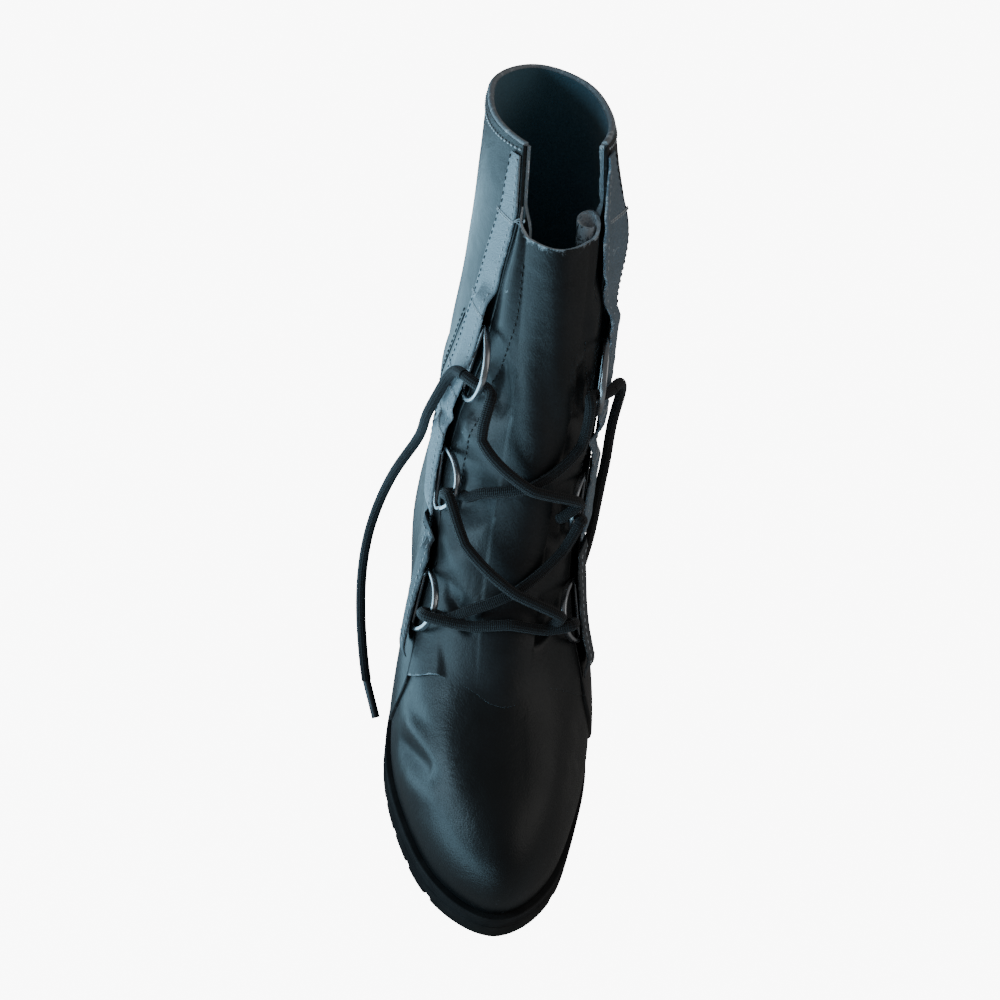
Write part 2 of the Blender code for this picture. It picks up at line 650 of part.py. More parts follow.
def round_ring(side, ring):
    """Lace points round a ring's bow, from over it, down through the ring, to under it."""
    middle, along, out, rise = ring_frame(side, ring)
    slide = ring["slide"]
    bow = middle + slide * along + RING_DEPTH * math.sqrt(1.0 - (slide / ring["half"]) ** 2) * out
    turn = (RING_BROAD / 2 + TURN_PLAY + LACE_RADIUS) * rise
    inside = (RING_STRIP / 2 + TURN_PLAY + LACE_RADIUS) * out
    clear = 4.0 * out
    return [bow + turn + clear, bow + turn, bow + TURN_CORNER * (turn - inside), bow - inside,
            bow - TURN_CORNER * (turn + inside), bow - turn, bow - turn + clear]


def out_of_ring(side, ring):
    """Lace point above the hole of a top ring, where its free end starts."""
    middle, along, out, rise = ring_frame(side, ring)
    return middle + ring["slide"] * along + EXIT_DEPTH * out + EXIT_RISE * rise


def over_tongue(table, side, lift):
    """Lace points across the tongue, from one side to the other, at a lift over its middle."""
    return [spot(up_at(place["front"]), SIGN[side] * place["way"], lift + place["rise"]) for place in table]


def smooth_route(points, pace):
    """Points along a smooth curve through a route, about a pace apart."""
    points = np.array(points)
    ahead = np.concatenate([[2 * points[0] - points[1]], points, [2 * points[-1] - points[-2]]])
    curve = []
    for a, b, c, d in zip(ahead, ahead[1:], ahead[2:], ahead[3:]):
        count = max(2, round(np.linalg.norm(c - b) / pace))
        knots = np.append(0.0, np.cumsum([np.linalg.norm(q - p) ** 0.5 for p, q in ((a, b), (b, c), (c, d))]))
        for t in np.linspace(knots[1], knots[2], count, endpoint=False):
            line = [a, b, c, d]
            for size in (1, 2, 3):
                line = [(q * (t - knots[i]) + p * (knots[i + size] - t)) / (knots[i + size] - knots[i])
                        for i, (p, q) in enumerate(zip(line, line[1:]))]
            curve.append(line[0])
    return np.array(curve + [points[-1]])


def tube(name, points, radius, material):
    """A round cord or pin along points."""
    curve = bpy.data.curves.new(name, "CURVE")
    curve.dimensions = "3D"
    curve.bevel_depth = radius * MM
    curve.bevel_resolution = 2
    curve.use_fill_caps = True
    line = curve.splines.new("POLY")
    line.points.add(len(points) - 1)
    for point, place in zip(line.points, (np.asarray(points) - MIDDLE) * MM):
        point.co = (*place, 1.0)
    add_object(name, curve, material)


def lace_climb(side, other, first, second):
    """Lace points from over a lowest ring, round the other side's middle ring, to inside the top ring."""
    low, mid, top = RINGS
    route = round_ring(side, low) + over_tongue(LOWER_CROSSING, side, first)
    route += round_ring(other, mid) + over_tongue(UPPER_CROSSING, other, second)
    return route + round_ring(side, top)[:2:-1]


def lace_end(side):
    """Lace points from the leather beside a top ring to the aglet's tip."""
    over = [spot(up_at(place["front"]), SIGN[side] * place["way"], place["lift"])
            for place in LACE_OVER[side]]
    return over + [np.array(place) for place in LACE_FALL[side]]


def unit(vector):
    return vector / np.linalg.norm(vector)


def make_lace():
    """One lace: a bar between the lowest rings, two crossings, and a free end out of each top ring. Where one
    length meets the next, both run straight for a lace's radius, so that their flat ends lie face to face."""
    over = TONGUE_LIFT + TONGUE_THICK + LACE_PLAY + LACE_RADIUS
    cross = over + 2.0 * LACE_RADIUS + LACE_PLAY
    exits = [out_of_ring(side, RINGS[-1]) for side in SIGN]
    bar = over_tongue(BAR, "medial", over)
    inner = lace_climb("medial", "lateral", over, cross) + [exits[0]] + lace_end("medial")
    outer = lace_climb("lateral", "medial", cross, over) + [exits[1]] + lace_end("lateral")
    whole = smooth_route(inner[::-1] + bar + outer, LACE_PACE)
    first, last = (int(np.linalg.norm(whole - place, axis=1).argmin()) for place in exits)
    leave_first = unit(whole[first - 1] - whole[first + 1])
    leave_last = unit(whole[last + 1] - whole[last - 1])
    tube("lace_crossings", [exits[0], exits[0] - LACE_RADIUS * leave_first, *whole[first + 1:last],
                            exits[1] - LACE_RADIUS * leave_last, exits[1]], LACE_RADIUS, LACE)
    ends = (("medial", leave_first, whole[first::-1]), ("lateral", leave_last, whole[last:]))
    for side, leave, free in ends:
        tip = free[-1]
        back = unit(np.array(LACE_FALL[side][-2]) - tip)
        neck = tip + AGLET_LENGTH * back
        kept = free[1:][np.linalg.norm(free[1:] - tip, axis=1) > AGLET_LENGTH + 2.0 * LACE_RADIUS]
        start = free[0] + GAP * leave
        tube(f"lace_end_{side}", [start, start + LACE_RADIUS * leave, *kept,
                                  neck + (GAP + LACE_RADIUS) * back, neck + GAP * back], LACE_RADIUS, LACE)
        tube(f"aglet_{side}", [neck, tip], AGLET_RADIUS, METAL)


clear_scene()
LEATHER = finish("leather", (0.022, 0.024, 0.028), 0.45)
RUBBER = finish("rubber", (0.016, 0.016, 0.017), 0.7)
WEDGE = finish("wedge_rubber", (0.020, 0.020, 0.022), 0.6)
LINING = finish("lining", (0.030, 0.034, 0.045), 0.85)
METAL = finish("ring_metal", (0.45, 0.47, 0.50), 0.3, 1.0)
LACE = finish("lace_cord", (0.012, 0.012, 0.014), 0.8)
make_outsole()
make_wedge()
make_insole()
make_upper()
make_tongue()
for side in SIGN:
    make_overlay(f"facing_{side}", side, FACING_WIDTH)
    make_overlay(f"tab_{side}", side, TAB_WIDTH)
    for number, ring in enumerate(RINGS, 1):
        make_ring(f"d_ring_{side}_{number}", side, ring)
make_lace()
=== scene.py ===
"""Looks of the wedge winter boot, the left one of a pair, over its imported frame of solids."""
import math

import bmesh
import bpy
import numpy as np
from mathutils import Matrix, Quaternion, Vector


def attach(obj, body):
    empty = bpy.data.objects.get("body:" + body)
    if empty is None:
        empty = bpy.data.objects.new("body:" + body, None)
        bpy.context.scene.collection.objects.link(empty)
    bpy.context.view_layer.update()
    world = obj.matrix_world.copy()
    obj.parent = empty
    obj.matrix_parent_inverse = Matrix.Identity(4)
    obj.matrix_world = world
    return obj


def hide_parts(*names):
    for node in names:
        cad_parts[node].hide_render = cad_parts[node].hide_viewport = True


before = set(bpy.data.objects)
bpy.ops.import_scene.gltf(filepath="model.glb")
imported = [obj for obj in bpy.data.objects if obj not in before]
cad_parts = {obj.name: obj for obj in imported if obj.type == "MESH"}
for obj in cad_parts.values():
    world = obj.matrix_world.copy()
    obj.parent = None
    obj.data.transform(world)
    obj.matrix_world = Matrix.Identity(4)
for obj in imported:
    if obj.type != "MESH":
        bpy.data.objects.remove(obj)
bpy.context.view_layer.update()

# Camera, window light and floor
# The camera stands where the photographer stood, above and before the toe, turned to this one boot.
# Cool daylight comes low from the boot's inner side, most of it back up from a bright floor; the room is dim.
CAMERA_PLACE = Vector((-0.0665, -0.3946, 0.4280))
CAMERA_AIM = Vector((-0.0044, 0.0064, 0.1242))
CAMERA_ROLL = math.radians(8.6)
CAMERA_LENS = 43.1
CAMERA_SENSOR = 36.0
CAMERA_NEAR = 0.01
WINDOW_PLACE = Vector((-1.00, -0.12, 0.34))
WINDOW_AIM = Vector((0.0, 0.0, 0.16))
WINDOW_SIZE = (0.5, 0.4)
WINDOW_POWER = 4.0
WINDOW_COLOUR = (0.50, 0.80, 1.0)
BOUNCE_PLACE = Vector((-0.60, -0.05, 0.004))
BOUNCE_SIZE = (1.0, 1.5)
BOUNCE_POWER = 15.0
BOUNCE_COLOUR = (0.42, 0.77, 1.0)
FILL_PLACE = Vector((1.0, -0.25, 0.75))
FILL_SIZE = (1.2, 1.0)
FILL_POWER = 2.0
FILL_COLOUR = (1.0, 0.98, 0.95)
ROOM_COLOUR = (0.97, 0.98, 1.0)
ROOM_LIGHT = 0.12
BACKDROP = 9.0
FLOOR_COLOUR = (0.86, 0.84, 0.82)
FLOOR_GLOW = 9.0
FLOOR_HALF = 12.0

camera_data = bpy.data.cameras.new("camera")
camera_data.lens = CAMERA_LENS
camera_data.sensor_width = CAMERA_SENSOR
camera_data.clip_start = CAMERA_NEAR
camera = bpy.data.objects.new("camera", camera_data)
camera.location = CAMERA_PLACE
camera.rotation_mode = "QUATERNION"
camera_turn = (CAMERA_AIM - CAMERA_PLACE).to_track_quat("-Z", "Y")
camera.rotation_quaternion = camera_turn @ Quaternion((0, 0, 1), CAMERA_ROLL)
bpy.context.scene.collection.objects.link(camera)
bpy.context.scene.camera = camera

for name, size, power, colour, place, aim in (
        ("window", WINDOW_SIZE, WINDOW_POWER, WINDOW_COLOUR, WINDOW_PLACE, WINDOW_AIM - WINDOW_PLACE),
        ("floor_bounce", BOUNCE_SIZE, BOUNCE_POWER, BOUNCE_COLOUR, BOUNCE_PLACE, Vector((0.0, 0.0, 1.0))),
        ("fill", FILL_SIZE, FILL_POWER, FILL_COLOUR, FILL_PLACE, WINDOW_AIM - FILL_PLACE)):
    light_data = bpy.data.lights.new(name, "AREA")
    light_data.shape = "RECTANGLE"
    light_data.size, light_data.size_y = size
    light_data.energy = power
    light_data.color = colour
    light = bpy.data.objects.new(name, light_data)
    light.location = place
    light.rotation_mode = "QUATERNION"
    light.rotation_quaternion = aim.to_track_quat("-Z", "Y")
    light.visible_camera = False
    bpy.context.scene.collection.objects.link(light)


def feed(tree, fed, inputs):
    """Joins a node's inputs to sockets, or sets them to values."""
    for key, value in inputs.items():
        if isinstance(value, bpy.types.NodeSocket):
            tree.links.new(value, fed.inputs[key])
        else:
            fed.inputs[key].default_value = value


def node(tree, kind, inputs=None, **settings):
    """A new node with its settings and its inputs."""
    made = tree.nodes.new(kind)
    for key, value in settings.items():
        setattr(made, key, value)
    feed(tree, made, inputs or {})
    return made


def new_finish(name):
    """A new material, with its nodes and its shader."""
    material = bpy.data.materials.new(name)
    material.use_nodes = True
    return material, material.node_tree, material.node_tree.nodes["Principled BSDF"]


room = bpy.data.worlds.new("room")
room.use_nodes = True
room_tree = room.node_tree
room_tree.nodes.clear()
lit = node(room_tree, "ShaderNodeBackground", {"Color": (*ROOM_COLOUR, 1.0), "Strength": ROOM_LIGHT})
seen = node(room_tree, "ShaderNodeBackground", {"Color": (*ROOM_COLOUR, 1.0), "Strength": BACKDROP})
rays = node(room_tree, "ShaderNodeLightPath")
both = node(room_tree, "ShaderNodeMixShader",
            {0: rays.outputs["Is Camera Ray"], 1: lit.outputs[0], 2: seen.outputs[0]})
node(room_tree, "ShaderNodeOutputWorld", {"Surface": both.outputs[0]})
bpy.context.scene.world = room

floor_mesh = bpy.data.meshes.new("floor")
floor_corners = [(x * FLOOR_HALF, y * FLOOR_HALF, 0.0) for x, y in ((-1, -1), (1, -1), (1, 1), (-1, 1))]
floor_mesh.from_pydata(floor_corners, [], [(0, 1, 2, 3)])
floor_paint, floor_tree, floor_shader = new_finish("floor_paint")
floor_rays = node(floor_tree, "ShaderNodeLightPath")
floor_glow = node(floor_tree, "ShaderNodeMath", {0: floor_rays.outputs["Is Camera Ray"], 1: FLOOR_GLOW},
                  operation="MULTIPLY")
feed(floor_tree, floor_shader, {
    "Base Color": (*FLOOR_COLOUR, 1.0), "Roughness": 0.9, "Specular IOR Level": 0.1,
    "Emission Color": (1.0, 1.0, 1.0, 1.0), "Emission Strength": floor_glow.outputs[0]})
floor_mesh.materials.append(floor_paint)
floor = bpy.data.objects.new("floor", floor_mesh)
bpy.context.scene.collection.objects.link(floor)


# Upper
# Vamp, quarters and shaft of black waxed leather on a felt lining, sewn flat and then pulled over a last.
# The quarters lie on the vamp; the leather is worn grey on its edges and creased over the ball of the foot.
MM = 0.001
LENGTH = 247.0
BALL_WIDTH = 86.0
SHAFT_HEIGHT = 272.0
HEEL_HEIGHT = 52.0
FOREFOOT_HEIGHT = 14.0
TOE_SPRING = 6.0
BALL_LINE = -45.0
HEEL_LINE = 85.0
WALL = 1.6
QUARTER_STEP = 1.4
FEATHER_GAP = 0.45
SOLE_MARGIN = 2.6
THROAT_FRONT = 81.0
LEDGE = 6.0
LEDGE_TOP = 0.5
LEDGE_FADE = (238.0, 251.0)
HELD_START = 2.4
STEP_WAYS = (0.0, 0.12, 0.4, 1.0)
STEP_LIFTS = (0.0, 0.9, 1.3, 1.4)
VAMP_ROWS = 64
SHAFT_ROWS = 84
FREE_CELLS = 46
HELD_CELLS = 74
TONGUE_COVER = dict(front=(50.0, 60.0), way=(8.0, 12.0), throat=(72.0, 76.0))
FACING_COVER = dict(front=(52.0, 60.0), middle=10.0, reach=(16.0, 24.0))
SOLE_CALM = (0.0, 0.05)
COLLAR_CALM = (0.93, 1.0)
# The crease share lightens the tops of swellings: part rub, part painted highlight.
WEAR = dict(edge=0.55, collar=0.5, toe=0.42, crease=0.35, sole=0.22, lining=0.35, flakes=0.5)
EDGE_SCUFF = 2.5
COLLAR_SCUFF = (0.975, 1.0)
TOE_SCUFF = 34.0
TOE_ROW = 6
SOLE_SCUFF = (4.0, 16.0)
FLAKE_REACH = 3.0
FLAKE_FRONT = (225.0, 262.0)
CRINKLE = 0.5
UNEVEN = 0.22
CREASE_ENDS = (0.02, 0.98)
FADE_POWER = 0.6
FLARE = 4.5
FLARE_FRONT = 232.0
FLARE_TALL = 22.0
FLARE_BEHIND = 12.0
FLARE_REACH = 10.0
LINED_EDGE = 15.0
LINED_FRONT = (176.0, 196.0)
SIGN = dict(medial=-1.0, lateral=1.0)
STATIONS = {
    "front": dict(share=0.00, knot=0.00, swing=-3.0),
    "tip": dict(share=0.05, knot=0.08, swing=-3.0),
    "toe": dict(share=0.16, knot=0.19, swing=-3.0),
    "ball": dict(share=0.36, knot=0.37, swing=-1.5),
    "waist": dict(share=0.62, knot=0.60, swing=-1.0),
    "heel": dict(share=0.86, knot=0.81, swing=-0.5),
    "back": dict(share=1.00, knot=1.00, swing=0.0),
}
COLUMNS = ("front", "front_up", "back", "back_up", "follow", "swing", "lean",
           "tip", "toe", "ball", "waist", "heel")
SECTIONS = {
    "feather": (-0.526, 0.074, 0.474, 0.191, 1.00, 1.0, 0.0, 0.221, 0.378, 0.500, 0.395, 0.349),
    "wall": (-0.534, 0.118, 0.478, 0.246, 0.80, 1.0, 0.0, 0.221, 0.384, 0.506, 0.419, 0.370),
    "shoulder": (-0.514, 0.169, 0.478, 0.294, 0.60, 1.0, 0.0, 0.209, 0.360, 0.488, 0.413, 0.366),
    "toe_top": (-0.457, 0.210, 0.470, 0.346, 0.40, 1.0, 0.0, 0.192, 0.326, 0.453, 0.395, 0.349),
    "vamp": (-0.368, 0.243, 0.453, 0.404, 0.25, 1.0, 0.0, 0.174, 0.297, 0.424, 0.384, 0.326),
    "vamp_high": (-0.287, 0.279, 0.435, 0.467, 0.15, 1.0, 0.0, 0.163, 0.279, 0.401, 0.378, 0.302),
    "throat": (-0.223, 0.324, 0.421, 0.533, 0.05, 0.8, 0.0, 0.151, 0.267, 0.390, 0.372, 0.285),
    "instep": (-0.170, 0.382, 0.413, 0.599, 0.00, 0.5, 0.0, 0.140, 0.250, 0.372, 0.366, 0.273),
    "ankle": (-0.113, 0.471, 0.413, 0.673, 0.00, 0.2, 1.0, 0.128, 0.238, 0.360, 0.360, 0.262),
    "shaft_low": (-0.065, 0.588, 0.419, 0.765, 0.00, 0.0, 3.0, 0.122, 0.227, 0.343, 0.349, 0.250),
    "shaft_mid": (-0.024, 0.735, 0.429, 0.868, 0.00, 0.0, 4.0, 0.116, 0.221, 0.326, 0.331, 0.238),
    "collar": (0.040, 0.996, 0.437, 1.000, 0.00, 0.0, 0.0, 0.105, 0.192, 0.262, 0.267, 0.198),
}
QUARTER_EDGE = (
    dict(front=20.0, medial=118.0, lateral=112.0),
    dict(front=56.0, medial=84.0, lateral=78.0),
    dict(front=68.0, medial=71.0, lateral=62.0),
    dict(front=89.0, medial=51.0, lateral=45.5),
    dict(front=101.0, medial=53.0, lateral=44.5),
    dict(front=116.0, medial=53.0, lateral=43.5),
    dict(front=145.0, medial=46.5, lateral=39.0),
    dict(front=173.0, medial=36.5, lateral=33.5),
    dict(front=195.0, medial=31.0, lateral=30.5),
    dict(front=222.0, medial=24.0, lateral=27.5),
    dict(front=245.0, medial=17.0, lateral=25.5),
    dict(front=271.0, medial=16.0, lateral=25.0),
)


def row(name):
    """A section's values by column name."""
    return dict(zip(COLUMNS, SECTIONS[name]))


def ease(value, low, high):
    """A smooth step from 0 at low to 1 at high."""
    t = np.clip((np.asarray(value, float) - low) / (high - low), 0.0, 1.0)
    return t * t * (3.0 - 2.0 * t)


def footbed(y):
    """Height of the top of the sole along the foot."""
    y = np.asarray(y, float)
    toe_line = row("feather")["front"] * LENGTH
    climb = (HEEL_HEIGHT - FOREFOOT_HEIGHT) * ease(y, BALL_LINE, HEEL_LINE)
    ahead = np.clip((BALL_LINE - y) / (BALL_LINE - toe_line), 0.0, 1.2)
    return FOREFOOT_HEIGHT + climb + TOE_SPRING * ahead ** 2


def spline_weights(knots, x, period=None):
    """Weights of the knots in a cubic spline at x: natural at its ends, or closed over a period."""
    knots = np.asarray(knots, float)
    count = len(knots)
    steps = np.diff(knots)
    if period:
        steps = np.append(steps, knots[0] + period - knots[-1])
    left = np.eye(count)
    right = np.zeros((count, count))
    for i in range(count):
        if not period and i in (0, count - 1):
            continue
        before, after = (i - 1) % count, (i + 1) % count
        low, high = steps[(i - 1) % len(steps)], steps[i % len(steps)]
        left[i] = 0.0
        left[i, [before, i, after]] = low, 2.0 * (low + high), high
        right[i, [before, i, after]] = 6.0 / low, -6.0 / low - 6.0 / high, 6.0 / high
    bend = np.linalg.solve(left, right)
    x = np.asarray(x, float)
    x = (x - knots[0]) % period + knots[0] if period else np.clip(x, knots[0], knots[-1])
    i = np.clip(np.searchsorted(knots, x, side="right") - 1, 0, len(steps) - 1)
    j = (i + 1) % count
    t = ((x - knots[i]) / steps[i])[:, None]
    size = (steps[i] ** 2 / 6.0)[:, None]
    eye = np.eye(count)
    straight = (1.0 - t) * eye[i] + t * eye[j]
    return straight + size * (((1.0 - t) ** 3 - (1.0 - t)) * bend[i] + (t ** 3 - t) * bend[j])


def section_loop(name):
    """Points of one section at its stations: down the outer side, back up the inner side."""
    sec = row(name)
    front, back = sec["front"] * LENGTH, sec["back"] * LENGTH
    low, high = sec["front_up"] * SHAFT_HEIGHT, sec["back_up"] * SHAFT_HEIGHT
    outer, inner = [], []
    for station, tie in STATIONS.items():
        share = tie["share"]
        y = front + (back - front) * share
        chord = footbed(front) + (footbed(back) - footbed(front)) * share
        z = low + (high - low) * share + sec["follow"] * (footbed(y) - chord)
        if name == "feather":
            z = float(footbed(y)) + FEATHER_GAP
        middle = tie["swing"] * sec["swing"] + sec["lean"]
        half = 0.0 if station in ("front", "back") else sec[station] * BALL_WIDTH
        outer.append((middle + half, y, z))
        inner.append((middle - half, y, z))
    return outer + inner[-2:0:-1]


NET = np.array([section_loop(name) for name in SECTIONS])
HALF_KNOTS = [tie["knot"] for tie in STATIONS.values()]
AROUND = HALF_KNOTS + [2.0 - knot for knot in HALF_KNOTS[-2:0:-1]]
CLIMB = np.append(0.0, np.cumsum(np.linalg.norm(np.diff(NET, axis=0), axis=2).mean(axis=1)))
UPWARD = CLIMB / CLIMB[-1]


def skin(around, up, lift=0.0):
    """The boot's outer form in millimetres: around runs 0 at the front, 1 at the back, -1 to 0 on the inner
    side; up runs 0 at the feather line, 1 at the collar; lift is a distance out along the normal."""
    around, up, lift = np.broadcast_arrays(np.asarray(around, float), up, lift)
    shape = around.shape
    around, up, lift = around.ravel(), up.ravel(), lift.ravel()

    def at(a, b):
        """Points of the form itself."""
        ties = np.einsum("ik,rkd->ird", spline_weights(AROUND, a, 2.0), NET)
        return np.einsum("ir,ird->id", spline_weights(UPWARD, b), ties)

    small = 1e-3
    side = at(around + small, up) - at(around - small, up)
    rise = at(around, np.minimum(up + small, 1.0)) - at(around, np.maximum(up - small, 0.0))
    normal = np.cross(side, rise)
    normal /= np.linalg.norm(normal, axis=1)[:, None]
    return (at(around, up) + lift[:, None] * normal).reshape(*shape, 3)


FINE = 301
FINE_UP = np.linspace(0.0, 1.0, FINE)
FINE_AROUND = np.linspace(-1.0, 1.0, FINE)
FINE_NET = skin(FINE_AROUND[None, :], FINE_UP[:, None])
RUN = np.cumsum(np.linalg.norm(np.diff(FINE_NET, axis=1, prepend=FINE_NET[:, :1]), axis=2), axis=1)
RUN -= RUN[:, FINE // 2, None]
FRONT_Z = FINE_NET[:, FINE // 2, 2]


def up_at(front_height):
    """How far up the boot the front line has this height."""
    return np.interp(front_height, FRONT_Z, FINE_UP)


def around_at(up, way):
    """How far round the boot a way in millimetres from the front line leads; the inner side is negative."""
    up, way = np.broadcast_arrays(np.asarray(up, float), way)
    place = np.clip(up.ravel() * (FINE - 1), 0.0, FINE - 1.001)
    low = place.astype(int)
    share = (place - low)[:, None]
    run = RUN[low] * (1.0 - share) + RUN[low + 1] * share
    goal = np.clip(way.ravel(), run[:, 0], run[:, -1])
    k = np.clip((run < goal[:, None]).sum(axis=1) - 1, 0, FINE - 2)
    pick = np.arange(len(k))
    part = (goal - run[pick, k]) / (run[pick, k + 1] - run[pick, k])
    return (FINE_AROUND[k] + part * (FINE_AROUND[1] - FINE_AROUND[0])).reshape(up.shape)


def spot(up, way, lift=0.0):
    """Points of the boot's form, by their height and their way from the front line."""
    return skin(around_at(up, way), up, lift)


def table_at(table, column, up):
    """A table's column, read by the height of the front line."""
    ups = [float(up_at(entry["front"])) for entry in table]
    return np.interp(up, ups, [entry[column] for entry in table])


def edge_at(side, up):
    """Way from the front line to the quarter's front edge, signed by side."""
    return table_at(QUARTER_EDGE, side, up) * SIGN[side]


def sole_outline(margin, count):
    """The feather line from above, moved out by a margin, as points from the toe round the outer side."""
    turn = np.arange(count) * 2.0 / count
    line = skin(turn, np.zeros(count))[:, :2]
    along = skin(turn + 1e-3, np.zeros(count))[:, :2] - skin(turn - 1e-3, np.zeros(count))[:, :2]
    out = np.stack([along[:, 1], -along[:, 0]], axis=1)
    return line + margin * out / np.linalg.norm(out, axis=1)[:, None]


SOLE_EDGE = sole_outline(SOLE_MARGIN, 64)
MIDDLE = np.append((SOLE_EDGE.min(axis=0) + SOLE_EDGE.max(axis=0)) / 2.0, 0.0)


def add_piece(name, points, faces, materials, slots=None, smooth_angle=55.0, marks=None, uvs=None):
    """A mesh from points in millimetres, with its materials, marks on its points and UVs on its corners."""
    mesh = bpy.data.meshes.new(name)
    mesh.from_pydata([tuple(p) for p in (np.asarray(points) - MIDDLE) * MM], [], faces)
    for material in materials:
        mesh.materials.append(material)
    if slots is not None:
        mesh.polygons.foreach_set("material_index", np.asarray(slots, np.int32))
    for key, values in (marks or {}).items():
        mark = mesh.attributes.new(key, "FLOAT", "POINT")
        mark.data.foreach_set("value", np.asarray(values, np.float32))
    if uvs is not None:
        layer = mesh.uv_layers.new(name="UVMap")
        layer.data.foreach_set("uv", np.asarray(uvs, np.float32).ravel())
    form = bmesh.new()
    form.from_mesh(mesh)
    bmesh.ops.recalc_face_normals(form, faces=form.faces)
    form.to_mesh(mesh)
    form.free()
    mesh.shade_smooth()
    mesh.set_sharp_from_angle(angle=math.radians(smooth_angle))
    obj = bpy.data.objects.new(name, mesh)
    bpy.context.scene.collection.objects.link(obj)
    return obj


def wall(name, outer, inner, materials, closed=False, present=None, marks=None, inner_slot=None,
         rim_slot=0):
    """A wall between two grids of points, with rims round its edges and round cells that are left open. The
    last material is for the inner side, unless inner_slot numbers one for each cell."""
    rows, cols = outer.shape[:2]
    spans = cols if closed else cols - 1
    if present is None:
        present = np.ones((rows - 1, spans), bool)
    shift = rows * cols
    faces, slots, edges = [], [], {}
    for r, c in zip(*np.nonzero(present)):
        d = (c + 1) % cols
        quad = [int(i) for i in (r * cols + c, r * cols + d, (r + 1) * cols + d, (r + 1) * cols + c)]
        faces.append(quad)
        faces.append([i + shift for i in reversed(quad)])
        slots += [0, len(materials) - 1 if inner_slot is None else int(inner_slot[r, c])]
        for a, b in zip(quad, quad[1:] + quad[:1]):
            if not edges.pop((b, a), None):
                edges[(a, b)] = True
    for a, b in edges:
        faces.append([b, a, a + shift, b + shift])
        slots.append(rim_slot)
    used = np.unique(np.concatenate([np.array(face) for face in faces]))
    renumber = np.full(2 * shift, -1)
    renumber[used] = np.arange(len(used))
    points = np.concatenate([outer.reshape(-1, 3), inner.reshape(-1, 3)])[used]
    kept = {key: np.broadcast_to(values, (2, rows, cols)).reshape(-1)[used]
            for key, values in (marks or {}).items()}
    return add_piece(name, points, [renumber[face].tolist() for face in faces], materials, slots, marks=kept)


def noise(tree, place, scale, detail, roughness=0.5, distortion=0.0):
    """Noise over a piece, by places on it."""
    return node(tree, "ShaderNodeTexNoise", {"Vector": place, "Scale": scale, "Detail": detail,
                                             "Roughness": roughness, "Distortion": distortion})


def ramp(tree, value, interpolation="LINEAR", **limits):
    """A value moved from one range to another."""
    inputs = {key.replace("_", " ").title(): limit for key, limit in limits.items()}
    return node(tree, "ShaderNodeMapRange", {"Value": value, **inputs},
                interpolation_type=interpolation).outputs[0]


def reckon(tree, operation, *values, clamp=False):
    """A sum, product or other step of arithmetic on values."""
    inputs = dict(enumerate(values))
    return node(tree, "ShaderNodeMath", inputs, operation=operation, use_clamp=clamp).outputs[0]


def blend(tree, share, base, other):
    """A colour between two, by a share."""
    return node(tree, "ShaderNodeMix", {0: share, 6: base, 7: other}, data_type="RGBA").outputs[2]


def bump(tree, height, strength, distance, **over):
    """A normal bent by a height, over another one if it is given."""
    inputs = {"Height": height, "Strength": strength, "Distance": distance}
    return node(tree, "ShaderNodeBump", {**inputs, **over}).outputs[0]


def make_hide():
    """Shader group: waxed leather with pebbled grain, pores, mottling and rubbed places."""
    tree = bpy.data.node_groups.new("hide", "ShaderNodeTree")
    for name, kind in (("Base", "NodeSocketColor"), ("Worn", "NodeSocketColor"), ("Wear", "NodeSocketFloat"),
                       ("Grain", "NodeSocketFloat"), ("Rough", "NodeSocketFloat")):
        tree.interface.new_socket(name, in_out="INPUT", socket_type=kind)
    for name, kind in (("Color", "NodeSocketColor"), ("Roughness", "NodeSocketFloat"),
                       ("Normal", "NodeSocketVector")):
        tree.interface.new_socket(name, in_out="OUTPUT", socket_type=kind)
    given = node(tree, "NodeGroupInput").outputs
    place = node(tree, "ShaderNodeTexCoord").outputs["Object"]
    stir = noise(tree, place, 420.0, 2.0).outputs["Color"]
    nudge = node(tree, "ShaderNodeVectorMath", {0: stir, "Scale": 0.0009}, operation="SCALE")
    moved = node(tree, "ShaderNodeVectorMath", {0: place, 1: nudge.outputs[0]}, operation="ADD")
    cells = node(tree, "ShaderNodeTexVoronoi", {"Vector": moved.outputs[0], "Scale": 820.0},
                 feature="DISTANCE_TO_EDGE")
    pebble = ramp(tree, cells.outputs["Distance"], "SMOOTHSTEP", from_max=0.22)
    pores = noise(tree, place, 2600.0, 2.0).outputs[0]
    pull = noise(tree, place, 75.0, 5.0, 0.6, 0.7).outputs[0]
    mottle = noise(tree, place, 26.0, 6.0, 0.62).outputs[0]
    rub = noise(tree, place, 260.0, 6.0, 0.72, 0.4).outputs[0]
    dust = noise(tree, place, 900.0, 3.0, 0.7).outputs[0]
    limit = ramp(tree, given["Wear"], to_min=0.74, to_max=0.38)
    bare = ramp(tree, reckon(tree, "SUBTRACT", rub, limit), "SMOOTHSTEP", from_max=0.16)
    speck = ramp(tree, dust, from_min=0.66, from_max=0.78, to_max=0.08)
    light = ramp(tree, mottle, from_min=0.3, from_max=0.72, to_max=0.05)
    total = reckon(tree, "ADD", reckon(tree, "MAXIMUM", bare, speck), light, clamp=True)
    sheen = ramp(tree, mottle, from_min=0.3, from_max=0.7, to_min=-0.08, to_max=0.10)
    dull = reckon(tree, "MULTIPLY_ADD", bare, 0.22, sheen)
    fine = reckon(tree, "MULTIPLY_ADD", pores, 0.35, pebble)
    soft = bump(tree, pull, 0.35, 0.0010)
    feed(tree, node(tree, "NodeGroupOutput"), {
        "Color": blend(tree, total, given["Base"], given["Worn"]),
        "Roughness": reckon(tree, "ADD", given["Rough"], dull, clamp=True),
        "Normal": bump(tree, fine, given["Grain"], 0.00016, Normal=soft)})
    return tree


HIDE = make_hide()


